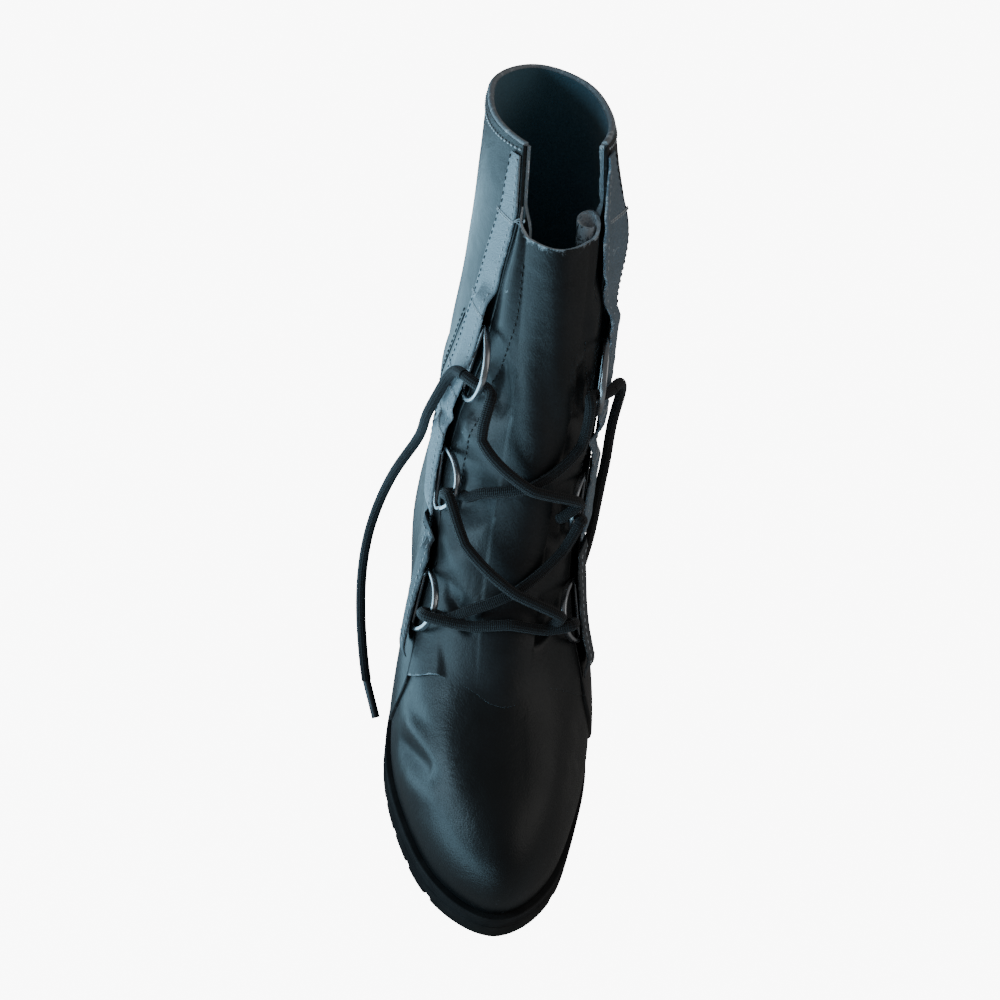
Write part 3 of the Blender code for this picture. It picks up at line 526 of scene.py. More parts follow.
def leather(name, base, worn, grain, rough, gloss):
    """A leather of a given colour, turning to its second colour where the mesh is marked: rubbed places, and
    on some pieces painted highlight.
    """
    material, tree, shader = new_finish(name)
    wear = node(tree, "ShaderNodeAttribute", attribute_name="wear")
    group = node(tree, "ShaderNodeGroup", node_tree=HIDE)
    feed(tree, group, {"Base": (*base, 1.0), "Worn": (*worn, 1.0), "Grain": grain, "Rough": rough,
                       "Wear": wear.outputs["Fac"]})
    feed(tree, shader, {"Base Color": group.outputs["Color"], "Roughness": group.outputs["Roughness"],
                        "Normal": group.outputs["Normal"], "Specular IOR Level": gloss})
    return material


def felt(name, base, lift):
    """Brushed lining: matt, with a fuzzy nap."""
    material, tree, shader = new_finish(name)
    place = node(tree, "ShaderNodeTexCoord").outputs["Object"]
    nap = noise(tree, place, 1500.0, 4.0, 0.7).outputs[0]
    worn = noise(tree, place, 45.0, 4.0).outputs[0]
    feed(tree, shader, {
        "Base Color": blend(tree, worn, (*base, 1.0), (*lift, 1.0)), "Normal": bump(tree, nap, 0.8, 0.0004),
        "Roughness": 0.95, "Specular IOR Level": 0.1, "Sheen Weight": 0.25, "Sheen Roughness": 0.5})
    return material


# Creases and swellings of the worn upper: points by height of the front line and way round, then half width
# and depth, where a swelling's depth is positive
CREASES = (
    dict(side="medial", line=((38, 86), (42, 79), (45, 70), (49, 57), (53, 43)), width=5.0, depth=-3.6),
    dict(side="medial", line=((53, 80), (57, 62), (61, 47), (63, 30)), width=4.4, depth=-1.8),
    dict(side="medial", line=((49, 82), (53, 67), (56, 51), (59, 36)), width=4.6, depth=1.9),
    dict(side="medial", line=((36, 72), (42, 58), (47, 46), (51, 33)), width=6.5, depth=1.4),
    dict(side="lateral", line=((42, 74), (50, 60), (56, 44), (59, 28)), width=3.6, depth=-1.2),
    dict(side="lateral", line=((50, 78), (57, 60), (62, 42)), width=3.6, depth=-0.9),
    dict(side="lateral", line=((34, 72), (46, 54), (53, 36)), width=5.0, depth=-0.6),
    dict(side="lateral", line=((46, 66), (53, 52), (58, 36)), width=5.5, depth=0.7),
    dict(side="medial", line=((104, 100), (98, 124), (96, 150), (98, 178)), width=6.5, depth=-1.4),
    dict(side="medial", line=((118, 102), (113, 130), (112, 160)), width=7.0, depth=1.0),
    dict(side="medial", line=((130, 98), (126, 126), (124, 158)), width=6.0, depth=-0.9),
    dict(side="lateral", line=((100, 96), (94, 122), (93, 150), (96, 180)), width=6.5, depth=-1.5),
    dict(side="lateral", line=((115, 98), (109, 128), (108, 162)), width=7.0, depth=1.1),
    dict(side="lateral", line=((128, 94), (123, 124), (121, 158)), width=6.0, depth=-1.0),
    dict(side="lateral", line=((205, 62), (196, 90), (200, 120)), width=9.0, depth=-1.0),
    dict(side="medial", line=((210, 76), (200, 100), (204, 126)), width=9.0, depth=-0.8),
)


def relief(points):
    """How far creases and swellings move points of the upper, in millimetres."""
    moved = np.zeros(len(points))
    for crease in CREASES:
        line = np.array(crease["line"], float)
        share = np.linspace(0.0, 1.0, len(line))
        fine = np.linspace(0.0, 1.0, 40)
        path = spot(up_at(np.interp(fine, share, line[:, 0])),
                    SIGN[crease["side"]] * np.interp(fine, share, line[:, 1]))
        gap = np.linalg.norm(points[:, None, :] - path[None, :, :], axis=2)
        nearest = gap.argmin(axis=1)
        fade = np.sin(np.pi * np.clip(fine[nearest], *CREASE_ENDS)) ** FADE_POWER
        moved += crease["depth"] * fade * np.exp(-(gap.min(axis=1) / crease["width"]) ** 2)
    x, y, z = points.T
    moved += UNEVEN * np.sin(x * 0.11 + z * 0.07) * np.sin(y * 0.09 - z * 0.05)
    return moved


def flare(side, ups, behind):
    """How far the outer side bulges beside the upper part of its front edge, in millimetres."""
    front = np.interp(ups, FINE_UP, FRONT_Z)
    near = np.exp(-((behind - FLARE_BEHIND) / FLARE_REACH) ** 2)
    return FLARE * near * np.exp(-((front - FLARE_FRONT) / FLARE_TALL) ** 2) * (side == "lateral")


def make_upper():
    """The wall of the upper on a fine grid, with its quarters one leather higher than the vamp."""
    throat = float(up_at(THROAT_FRONT))
    ups = np.append(np.linspace(0.0, throat, VAMP_ROWS), np.linspace(throat, 1.0, SHAFT_ROWS)[1:])
    ways, lifts, behind = [], [], []
    for up in ups:
        sides = {}
        for side, sign in SIGN.items():
            edge = float(edge_at(side, up))
            back = float(np.interp(up, FINE_UP, RUN[:, -1 if sign > 0 else 0]))
            shown = LEDGE - (LEDGE - LEDGE_TOP) * float(ease(up, *up_at(LEDGE_FADE)))
            free = np.linspace(0.0, edge - sign * shown, FREE_CELLS + 1)
            ledge = np.linspace(edge - sign * shown, edge, 4)[1:-1]
            held = np.linspace(edge + sign * HELD_START, back, HELD_CELLS + 1)
            way = np.concatenate([free, ledge, edge + sign * np.array(STEP_WAYS), held])
            lift = np.concatenate([np.zeros(len(free) + len(ledge)), STEP_LIFTS,
                                   np.full(len(held), QUARTER_STEP)])
            sides[side] = (way, lift, sign * (way - edge))
        for lines, outer, inner in zip((ways, lifts, behind), sides["lateral"], sides["medial"]):
            lines.append(np.append(outer, inner[-2:0:-1]))
    ways, lifts, behind = np.array(ways), np.array(lifts), np.array(behind)
    tall = np.repeat(ups[:, None], ways.shape[1], axis=1)
    around = around_at(tall, ways)
    base = skin(around, tall)
    front = np.interp(tall, FINE_UP, FRONT_Z)
    beside = ease(front, *TONGUE_COVER["front"]) * ease(np.abs(ways), *TONGUE_COVER["way"])
    under_tongue = (behind < 0.0) * np.maximum(beside, ease(front, *TONGUE_COVER["throat"]))
    from_facing = np.abs(behind - FACING_COVER["middle"])
    under_facing = (1.0 - ease(from_facing, *FACING_COVER["reach"])) * ease(front, *FACING_COVER["front"])
    calm = np.clip(1.0 - under_tongue, 0.0, 1.0) * (1.0 - under_facing) * ease(tall, *SOLE_CALM)
    calm *= 1.0 - ease(tall, *COLLAR_CALM)
    moved = relief(base.reshape(-1, 3)).reshape(tall.shape) * calm
    lateral = np.broadcast_to(np.arange(ways.shape[1]) < len(sides["lateral"][0]), ways.shape)
    bent = flare("lateral", tall, behind) * lateral
    # Inner band of the outer quarter by its front edge: crinkled, and painted pale for the window light on
    # it.
    lit_lining_band = lateral * (1.0 - ease(behind, LINED_EDGE - 3.0, LINED_EDGE)) * ease(front, *LINED_FRONT)
    crinkle = CRINKLE * np.sin(front * 0.83 + behind * 1.1) * np.sin(front * 0.37 - behind * 0.9)
    outer = skin(around, tall, lifts + moved + bent)
    inner = skin(around, tall, -WALL + np.minimum(moved, 0.0) + bent + crinkle * lit_lining_band)
    for grid in (outer, inner):
        grid[0, :, 2] = footbed(grid[0, :, 1]) + FEATHER_GAP
    from_toe = np.linalg.norm(base - base[TOE_ROW, 0], axis=2)
    over_sole = base[..., 2] - footbed(base[..., 1])
    worn = np.max([
        WEAR["edge"] * np.exp(-np.clip(behind, 0.0, None) / EDGE_SCUFF) * (behind > -0.5),
        WEAR["collar"] * ease(tall, *COLLAR_SCUFF),
        WEAR["toe"] * np.exp(-(from_toe / TOE_SCUFF) ** 2),
        # The tops of the swellings turn lighter: part rub on the crests, part painted highlight.
        WEAR["crease"] * np.clip(moved, 0.0, 1.0),
        WEAR["sole"] * (1.0 - ease(over_sole, *SOLE_SCUFF))], axis=0)
    present = np.ones((len(ups) - 1, ways.shape[1]), bool)
    open_row = int(np.argmin(np.abs(ups - throat)))
    present[open_row:, :FREE_CELLS] = False
    present[open_row:, -FREE_CELLS:] = False
    flakes = np.exp(-np.maximum(behind, 0.0) / FLAKE_REACH) * ease(front, *FLAKE_FRONT)
    flaked = WEAR["lining"] + WEAR["flakes"] * flakes
    return wall("upper_leather", outer, inner, (UPPER_LEATHER, EDGE_LINING_PAINTED_LIGHT, LINING_FELT), closed=True,
                present=present, marks={"wear": np.array([worn, flaked])},
                inner_slot=np.where(lit_lining_band[:-1] > 0.5, 1, 2), rim_slot=1)


UPPER_LEATHER = leather("upper_leather", base=(0.006, 0.0065, 0.007), worn=(0.105, 0.116, 0.124),
                        grain=0.16, rough=0.40, gloss=0.55)
# The inner band of the outer quarter and the cut edges of the upper are painted pale blue-grey, standing in
# for the cool window light on them: painted light.
EDGE_LINING_PAINTED_LIGHT = leather("edge_lining_painted_light", base=(0.30, 0.36, 0.40), worn=(0.78, 0.82, 0.86),
                      grain=1.0, rough=0.5, gloss=0.5)
LINING_FELT = felt("lining_felt", base=(0.080, 0.18, 0.23), lift=(0.14, 0.27, 0.34))
upper = make_upper()
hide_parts("upper")
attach(upper, "root")


# Seams of the upper
# Waxed thread in a lockstitch, one row of short stitches beside each seam and round the collar, each stitch
# a little sunk in the leather; and the seams themselves, where two leathers meet in a dark valley.
STITCH_PITCH = 3.1
STITCH_LENGTH = 2.2
THREAD = 0.62
OFF_AXIS = (0.31, 0.57, 0.76)
SEAMS = (
    dict(name="collar", side="medial", pale=1, line=((269, 18), (267, 45), (266, 90), (266, 131))),
    dict(name="collar", side="lateral", pale=1, line=((269, 27), (267, 50), (266, 90), (266, 131))),
    dict(name="leg", side="medial", pale=0,
         line=((178, 57), (165, 64), (152, 71), (123, 91), (104, 112), (80, 132), (50, 150), (22, 160))),
    dict(name="leg", side="lateral", pale=0,
         line=((178, 54), (165, 61), (152, 68), (123, 88), (104, 109), (80, 129), (50, 147), (22, 157))),
    dict(name="quarter", side="medial", pale=0,
         line=((116, 73), (110, 78), (103, 86), (97, 98), (93, 112), (90, 122))),
    dict(name="quarter", side="lateral", pale=0,
         line=((116, 66), (110, 72), (103, 80), (97, 92), (93, 106), (90, 119))),
)


def make_stitch_tool():
    """Geometry group: one rounded stitch after another along a line of edges."""
    tree = bpy.data.node_groups.new("stitch row", "GeometryNodeTree")
    tree.interface.new_socket("Seam", in_out="INPUT", socket_type="NodeSocketGeometry")
    for name in ("Pitch", "Length", "Thread"):
        tree.interface.new_socket(name, in_out="INPUT", socket_type="NodeSocketFloat")
    tree.interface.new_socket("Dye", in_out="INPUT", socket_type="NodeSocketMaterial")
    tree.interface.new_socket("Stitches", in_out="OUTPUT", socket_type="NodeSocketGeometry")
    given = node(tree, "NodeGroupInput").outputs
    line = node(tree, "GeometryNodeMeshToCurve", {"Mesh": given["Seam"]})
    spaced = node(tree, "GeometryNodeResampleCurve", {"Curve": line.outputs[0], "Length": given["Pitch"]},
                  mode="LENGTH")
    along = node(tree, "GeometryNodeInputTangent")
    turn = node(tree, "FunctionNodeAlignRotationToVector", {"Vector": along.outputs[0]}, axis="X")
    bead = node(tree, "GeometryNodeMeshUVSphere", {"Segments": 8, "Rings": 6, "Radius": 0.5})
    vary = node(tree, "FunctionNodeRandomValue", {2: 0.86, 3: 1.12, "Seed": 7}, data_type="FLOAT")
    long = reckon(tree, "MULTIPLY", given["Length"], vary.outputs[1])
    size = node(tree, "ShaderNodeCombineXYZ", {"X": long, "Y": given["Thread"], "Z": given["Thread"]})
    sewn = node(tree, "GeometryNodeInstanceOnPoints",
                {"Points": spaced.outputs[0], "Instance": bead.outputs["Mesh"], "Rotation": turn.outputs[0],
                 "Scale": size.outputs[0]})
    real = node(tree, "GeometryNodeRealizeInstances", {"Geometry": sewn.outputs[0]})
    dyed = node(tree, "GeometryNodeSetMaterial", {"Geometry": real.outputs[0], "Material": given["Dye"]})
    node(tree, "NodeGroupOutput", {"Stitches": dyed.outputs[0]})
    return tree


STITCH_TOOL = make_stitch_tool()


def sew(name, lines, dye, pitch=STITCH_PITCH, length=STITCH_LENGTH, thread=THREAD):
    """One mesh of stitches along several lines of points in millimetres."""
    points, edges = [], []
    for line in lines:
        start = len(points)
        points += [tuple(p) for p in (np.asarray(line) - MIDDLE) * MM]
        edges += [(i, i + 1) for i in range(start, len(points) - 1)]
    seam = bpy.data.meshes.new(name + "_line")
    seam.from_pydata(points, edges, [])
    guide = bpy.data.objects.new(name + "_line", seam)
    bpy.context.scene.collection.objects.link(guide)
    tool = guide.modifiers.new("stitches", "NODES")
    tool.node_group = STITCH_TOOL
    values = {"Pitch": pitch * MM, "Length": length * MM, "Thread": thread * MM, "Dye": dye}
    for item in STITCH_TOOL.interface.items_tree:
        if item.in_out == "INPUT" and item.name in values:
            tool[item.identifier] = values[item.name]
    bpy.context.view_layer.update()
    made = guide.evaluated_get(bpy.context.evaluated_depsgraph_get())
    mesh = bpy.data.meshes.new_from_object(made)
    bpy.data.objects.remove(guide)
    mesh.name = name
    mesh.shade_smooth()
    obj = bpy.data.objects.new(name, mesh)
    bpy.context.scene.collection.objects.link(obj)
    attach(obj, "root")
    return obj


def thread_dye(name, colour):
    """Waxed thread, twisted."""
    material, tree, shader = new_finish(name)
    place = node(tree, "ShaderNodeTexCoord").outputs["Object"]
    twist = noise(tree, place, 3000.0, 2.0).outputs[0]
    soil = noise(tree, place, 160.0, 3.0).outputs[0]
    soiled = (*(0.45 * c for c in colour), 1.0)
    feed(tree, shader, {"Base Color": blend(tree, soil, soiled, (*colour, 1.0)),
                        "Normal": bump(tree, twist, 0.6, 0.0001), "Roughness": 0.6})
    return material


def sweep(name, points, section, material, closed=False, up=None):
    """A rod along points: section is a loop of (across, out) offsets in millimetres, and up the direction or
    directions that "out" leans to. UVs run round the section, and along the rod in millimetres."""
    points = np.asarray(points, float)
    count, sides = len(points), len(section)
    if closed:
        along = np.roll(points, -1, axis=0) - np.roll(points, 1, axis=0)
    else:
        along = np.gradient(points, axis=0)
    along /= np.linalg.norm(along, axis=1)[:, None]
    if up is None:
        lean = np.cross(along[0], OFF_AXIS)
        ups = []
        for direction in along:
            lean = lean - direction * (lean @ direction)
            lean = lean / np.linalg.norm(lean)
            ups.append(lean)
        up = np.array(ups)
    up = np.broadcast_to(np.asarray(up, float), points.shape)
    up = up - along * (up * along).sum(axis=1)[:, None]
    up = up / np.linalg.norm(up, axis=1)[:, None]
    across = np.cross(along, up)
    section = np.asarray(section, float)
    rings = points[:, None] + section[None, :, :1] * across[:, None] + section[None, :, 1:] * up[:, None]
    run = np.append(0.0, np.cumsum(np.linalg.norm(np.diff(points, axis=0), axis=1)))
    faces, uvs = [], []
    for i in range(count if closed else count - 1):
        j = (i + 1) % count
        for a in range(sides):
            b = (a + 1) % sides
            faces.append([i * sides + a, i * sides + b, j * sides + b, j * sides + a])
            low, high = run[i], run[j] if j else run[i] + np.linalg.norm(points[0] - points[i])
            uvs += [(a / sides, low), ((a + 1) / sides, low), ((a + 1) / sides, high), (a / sides, high)]
    if not closed:
        for start in (0, (count - 1) * sides):
            cap = list(range(start, start + sides))
            faces.append(cap)
            uvs += [(0.5, 0.0)] * sides
    return add_piece(name, rings.reshape(-1, 3), faces, (material,), uvs=uvs)


def oval(wide, tall, sides=12):
    """A section loop for a rod."""
    turn = np.arange(sides) * 2.0 * np.pi / sides
    return np.column_stack([wide * np.cos(turn), tall * np.sin(turn)])


def seam_path(seam, lift, aside=0.0):
    """Points along a seam of the upper, moved aside by some millimetres."""
    line = np.array(seam["line"], float)
    share = np.linspace(0.0, 1.0, len(line))
    weights = spline_weights(share, np.linspace(0.0, 1.0, 90))
    front, way = (weights @ line).T
    up, way = up_at(front), SIGN[seam["side"]] * (way + aside)
    points = spot(up, way)
    moved = relief(points) * (1.0 - ease(up, *COLLAR_CALM))
    return spot(up, way, QUARTER_STEP + moved + lift)


PALE_THREAD = thread_dye("pale_thread", (0.72, 0.76, 0.79))
DARK_THREAD = thread_dye("dark_thread", (0.045, 0.047, 0.05))
VALLEY = leather("seam_valley", base=(0.006, 0.006, 0.007), worn=(0.02, 0.02, 0.021),
                 grain=0.2, rough=0.8, gloss=0.2)
pale_seams = [seam for seam in SEAMS if seam["pale"]]
dark_seams = [seam for seam in SEAMS if not seam["pale"]]
sew("stitches_collar", [seam_path(seam, lift=0.15) for seam in pale_seams], PALE_THREAD,
    pitch=2.6, length=1.5, thread=0.95)
sew("stitches_upper", [seam_path(seam, lift=0.08, aside=2.0) for seam in dark_seams], DARK_THREAD)
for seam in dark_seams:
    furrow = oval(wide=0.5, tall=0.3, sides=8)
    valley = sweep(f"seam_{seam['name']}_{seam['side']}", seam_path(seam, lift=-0.12), furrow, VALLEY)
    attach(valley, "root")


# Collar edge
# The top of the shaft: leather turned over the lining and rolled, so that both show as one round rim. It is
# held by the row of stitches below it and rubbed grey by the trouser leg; its pale blue-grey is also painted
# light, standing in for the window light on it.
RIM_WIDE = 1.2
RIM_TALL = 1.1
RIM_WEAR_AND_LIGHT = 0.6
RIM_START = 0.6
RIM_SUNK = 0.1
RIM_RISE = 0.2
collar_start, collar_end = (float(edge_at(side, 1.0)) for side in ("lateral", "medial"))
collar_ways = np.concatenate([np.linspace(collar_start + RIM_START, float(RUN[-1, -1]), 90),
                              np.linspace(float(RUN[-1, 0]), collar_end - RIM_START, 90)[1:]])
collar_line = spot(np.ones(len(collar_ways)), collar_ways, -RIM_SUNK)
collar_line[:, 2] += RIM_RISE
# A pale blue-grey: rubbed leather, lightened further as painted light from the window.
RIM_LEATHER_WORN_AND_LIT = leather("rim_leather_worn_and_lit", base=(0.34, 0.38, 0.41), worn=(0.72, 0.77, 0.80),
                      grain=0.35, rough=0.5, gloss=0.5)
collar = sweep("collar_rim", collar_line, oval(RIM_WIDE, RIM_TALL), RIM_LEATHER_WORN_AND_LIT, up=(0.0, 0.0, 1.0))
rim_wear_and_light = collar.data.attributes.new("wear", "FLOAT", "POINT")
rim_wear_and_light.data.foreach_set("value", np.full(len(collar.data.vertices), RIM_WEAR_AND_LIGHT, np.float32))
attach(collar, "root")


# Tongue
# A bellows tongue: a middle of soft leather and, on each side, a gusset sewn to it and to the quarter. It is
# slack, so it bulges between the lace rings, and its outer gusset is folded back into the boot at the top.
TONGUE_LIFT = 0.8
TONGUE_PLAY = 1.1
TONGUE_THICK = 1.5
GUSSET_EDGE = 12.0
GUSSET_THICK = 1.4
GUSSET_RIM = 0.9
GUSSET_PUFF = 2.0
PUFF_CLEAR = (13.0, 28.0)
PUFF_START = (88.0, 100.0)
GUSSET_DENT = 3.2
DENT_REACH = (6.0, 16.0)
DENT_CLEAR = (3.6, 8.0)
TONGUE_LOW_FRONT = 75.0
TONGUE_LOW_SIDE = 57.0
TONGUE_TOP = dict(front=239.5, medial=249.0, lateral=243.0)
RING_DEPTH = 20.0
RING_STRIP = 2.0
RING_BROAD = 2.6
RING_BAR = 1.6
RING_SEAT = 0.8
RING_INSET = 3.2
BAR_STEP = 0.035
RINGS = (
    dict(medial=72.5, lateral=76.0, half=13.0, tilt=10.0, slide=-3.0),
    dict(medial=113.0, lateral=113.0, half=13.0, tilt=10.0, slide=-4.0),
    dict(medial=173.0, lateral=173.0, half=16.0, tilt=21.0, slide=-3.0),
)
LACE_RADIUS = 2.25
TURN_PLAY = 0.7
TURN_CORNER = 0.76
TURN_LEAD = 4.0
SKIVED = 20.0
SKIVED_RIM = 0.25
SKIVED_REST = 0.06
CORNER_SHOWN = (34.0, 44.0)
ROLL_START = (206.0, 233.0)
ROLL_LENGTH = 34.0
ROLL_FLAT = 4.0
ROLL_RADIUS = (5.6, 3.0)
ROLL_RISE = 8.0
ROLL_CREST = (2.0, 15.0)
ROLL_SINK = 0.6
ROLL_BARE = (5.0, 11.0)
FOLD_POINTS = 30
FOLD_ENDS = (0.04, 0.96)
FOLD_LIMIT = 0.6
FOLD_INSIDE = 0.7
TONGUE_ROWS = 120
GUSSET_LINES = 30
MIDDLE_LINES = 17
GUSSET_CLEAR = 0.35
TONGUE_FOLDS = (
    dict(line=((196, -7), (184, -6), (172, -6), (163, -5)), width=4.5, depth=1.2),
    dict(line=((186, -24), (175, -21), (165, -17)), width=3.5, depth=-1.2),
    dict(line=((226, -3), (208, -2), (192, -1), (176, 3), (164, 7)), width=4.0, depth=-1.0),
    dict(line=((190, 8), (176, 10), (162, 15)), width=4.5, depth=1.0),
    dict(line=((205, 16), (192, 19), (178, 23)), width=4.0, depth=-1.0),
    dict(line=((228, -16), (214, -19), (198, -22)), width=5.0, depth=0.9),
    dict(line=((156, -32), (148, -35), (139, -38)), width=7.0, depth=1.7),
    dict(line=((154, 28), (147, 30), (139, 33)), width=6.5, depth=1.6),
)
TONGUE_SEAM = ((228, 13.0), (199, 16), (173, 26), (154, 30), (131, 37), (108, 40))
SEAM_TOP = dict(medial=230.0, lateral=200.0)
TOP_ROW = dict(front=(229.0, 245.0), way=(-15.2, -13.4), lift=0.25)


def unit(vector):
    """The same direction, one long."""
    return vector / np.linalg.norm(vector)


def ring_frame(side, ring):
    """Middle of a ring's bar on the quarter, and its directions: along the edge, out over the tongue, and
    up from both."""
    def bar_spot(up):
        """A point in the middle of the bar's thickness."""
        return spot(up, edge_at(side, up) + SIGN[side] * RING_INSET, QUARTER_STEP + RING_SEAT + RING_BAR / 2)

    up, tilt = up_at(ring[side]), math.radians(ring["tilt"])
    middle = (bar_spot(up + BAR_STEP) + 2.0 * bar_spot(up) + bar_spot(up - BAR_STEP)) / 4.0
    along = unit(bar_spot(up + BAR_STEP) - bar_spot(up - BAR_STEP))
    way = edge_at(side, up) + SIGN[side] * RING_INSET
    across = spot(up, way - SIGN[side]) - spot(up, way)
    rise = unit(np.cross(along, across) * SIGN[side])
    across = np.cross(rise, along) * SIGN[side]
    out = across * math.cos(tilt) + rise * math.sin(tilt)
    rise = rise * math.cos(tilt) - across * math.sin(tilt)
    return middle, along, out, rise


def round_ring(side, ring):
    """Lace points round a ring's bow, from over it, down through the ring, to under it."""
    middle, along, out, rise = ring_frame(side, ring)
    slide = ring["slide"]
    bow = middle + slide * along + RING_DEPTH * math.sqrt(1.0 - (slide / ring["half"]) ** 2) * out
    turn = (RING_BROAD / 2 + TURN_PLAY + LACE_RADIUS) * rise
    inside = (RING_STRIP / 2 + TURN_PLAY + LACE_RADIUS) * out
    clear = TURN_LEAD * out
    return [bow + turn + clear, bow + turn, bow + TURN_CORNER * (turn - inside), bow - inside,
            bow - TURN_CORNER * (turn + inside), bow - turn, bow - turn + clear]


def gusset_lift(side, ups, ways, share):
    """Lift of the gusset's inner side: slack between the rings, pressed in by the lace under them."""
    front = np.interp(ups, FINE_UP, FRONT_Z)
    reach = edge_at(side, ups) - SIGN[side] * TONGUE_PLAY
    lace_under = np.concatenate([round_ring(side, ring)[-3:] for ring in RINGS])
    far = np.linalg.norm(spot(ups, ways)[:, None] - lace_under[None], axis=2).min(axis=1)
    puff = GUSSET_PUFF * np.sin(np.pi * share) ** 1.5 * ease(far, *PUFF_CLEAR) * ease(front, *PUFF_START)
    room = ease(np.abs(reach - ways) - LEDGE, *DENT_CLEAR) * ease(front - THROAT_FRONT, *DENT_CLEAR)
    return TONGUE_LIFT + puff - GUSSET_DENT * (1.0 - ease(far, *DENT_REACH)) * room


def tongue_columns():
    """Lines of the tongue from its lower to its upper edge: heights, ways, lifts of its inner side, and
    thicknesses, for the inner gusset, the middle and the outer gusset."""
    rows = TONGUE_ROWS
    columns = []

    def gusset(side, share):
        """One line of a gusset, at a share of its width from the middle."""
        low = up_at(TONGUE_LOW_FRONT + (TONGUE_LOW_SIDE - TONGUE_LOW_FRONT) * share ** 1.5)
        top = up_at(TONGUE_TOP["front"] + (TONGUE_TOP[side] - TONGUE_TOP["front"]) * share)
        ups = np.linspace(low, top, rows)
        reach = edge_at(side, ups) - SIGN[side] * TONGUE_PLAY
        ways = SIGN[side] * (GUSSET_EDGE + GUSSET_CLEAR) * (1.0 - share) + reach * share
        thick = np.full(rows, GUSSET_THICK + (GUSSET_RIM - GUSSET_THICK) * share)
        return ups, ways, gusset_lift(side, ups, ways, share), thick

    shares = np.linspace(0.0, 1.0, GUSSET_LINES)
    columns += [gusset("medial", share) for share in shares[::-1]]
    for way in np.linspace(-GUSSET_EDGE, GUSSET_EDGE, MIDDLE_LINES):
        ups = np.linspace(up_at(TONGUE_LOW_FRONT), up_at(TONGUE_TOP["front"]), rows)
        columns.append((ups, np.full(rows, way), np.full(rows, TONGUE_LIFT), np.full(rows, TONGUE_THICK)))
    columns += [gusset("lateral", share) for share in shares]
    return [np.array(values).T for values in zip(*columns)], len(shares)


def fold_relief(folds, points):
    """How far folds move points of the tongue, in millimetres."""
    moved = np.zeros(len(points))
    for fold in folds:
        line = np.array(fold["line"], float)
        fine = np.linspace(0.0, len(line) - 1.0, FOLD_POINTS)
        path = spot(up_at(np.interp(fine, range(len(line)), line[:, 0])),
                    np.interp(fine, range(len(line)), line[:, 1]))
        gap = np.linalg.norm(points[:, None] - path[None], axis=2)
        share = np.clip(gap.argmin(axis=1) / (FOLD_POINTS - 1), *FOLD_ENDS)
        fade = np.sin(np.pi * share) ** FADE_POWER
        moved += fold["depth"] * fade * np.exp(-(gap.min(axis=1) / fold["width"]) ** 2)
    return moved


def make_tongue():
    """The tongue's sheet with its folds; the top of its outer gusset has come loose and rolled up inwards."""
    (ups, ways, lifts, thick), side_count = tongue_columns()
    base = spot(ups, ways)
    moved = fold_relief(TONGUE_FOLDS, base.reshape(-1, 3)).reshape(ups.shape)
    whole = ease((ups - ups[0]) * CLIMB[-1], 0.0, SKIVED)
    whole = np.maximum(whole, ease(-ways, *CORNER_SHOWN))
    moved = np.maximum(moved, -thick * FOLD_LIMIT) * whole
    outer = spot(ups, ways, SKIVED_RIM + (lifts + thick - SKIVED_RIM) * whole + moved)
    inner = spot(ups, ways, SKIVED_REST + (lifts - SKIVED_REST) * whole + moved * FOLD_INSIDE)
    front = np.interp(ups, FINE_UP, FRONT_Z)
    steps = np.linspace(0.0, ROLL_LENGTH, side_count)
    radius = np.interp(steps, (ROLL_FLAT, ROLL_LENGTH), ROLL_RADIUS)
    turn = np.cumsum(np.where(steps > ROLL_FLAT, np.gradient(steps) / radius, 0.0))
    run = np.append(0.0, np.cumsum(np.cos(turn[:-1]) * np.diff(steps)))
    deep = np.append(0.0, np.cumsum(np.sin(turn[:-1]) * np.diff(steps)))
    seam = outer[:, -side_count]
    aside = unit(outer[-1, -side_count] - outer[-1, -side_count - 4])
    climb = unit(outer[-1, -side_count] - outer[-6, -side_count])
    inward = unit(np.cross(climb, aside))
    inward = inward if inward[1] > 0 else -inward
    sunk = ROLL_SINK * ease(steps, ROLL_CREST[1], ROLL_LENGTH)
    lift = ROLL_RISE * (ease(steps, *ROLL_CREST) - sunk)
    roll = (seam[:, None] + run[None, :, None] * aside + deep[None, :, None] * inward
            + lift[None, :, None] * climb)
    face = np.cos(turn)[:, None] * -inward + np.sin(turn)[:, None] * aside
    share = ease(front[:, -side_count:], *ROLL_START)[..., None]
    outer[:, -side_count:] = outer[:, -side_count:] * (1.0 - share) + roll * share
    back = roll - face[None] * thick[:, -side_count:, None]
    inner[:, -side_count:] = inner[:, -side_count:] * (1.0 - share) + back * share
    from_low = np.arange(len(ups))[:, None]
    from_top = from_low[::-1]
    # The top rows are rubbed pale; the fold ridges turn lighter, part rub and part painted highlight.
    worn = np.maximum(0.95 * np.exp(-from_top / 1.5) * np.ones(ups.shape), 0.4 * np.clip(moved, 0.0, 1.0))
    # The lower edge of the inner gusset's corner is painted pale where the window light catches it: painted
    # highlight.
    worn = np.maximum(worn, 0.9 * np.exp(-from_low / 1.2) * ease(-ways, *CORNER_SHOWN))
    worn[:, -side_count:] = np.maximum(worn[:, -side_count:], share[..., 0] * ease(steps, *ROLL_BARE))
    return wall("tongue_leather", outer, inner, (TONGUE_LEATHER, TONGUE_FLESH), marks={"wear": worn},
                rim_slot=1)


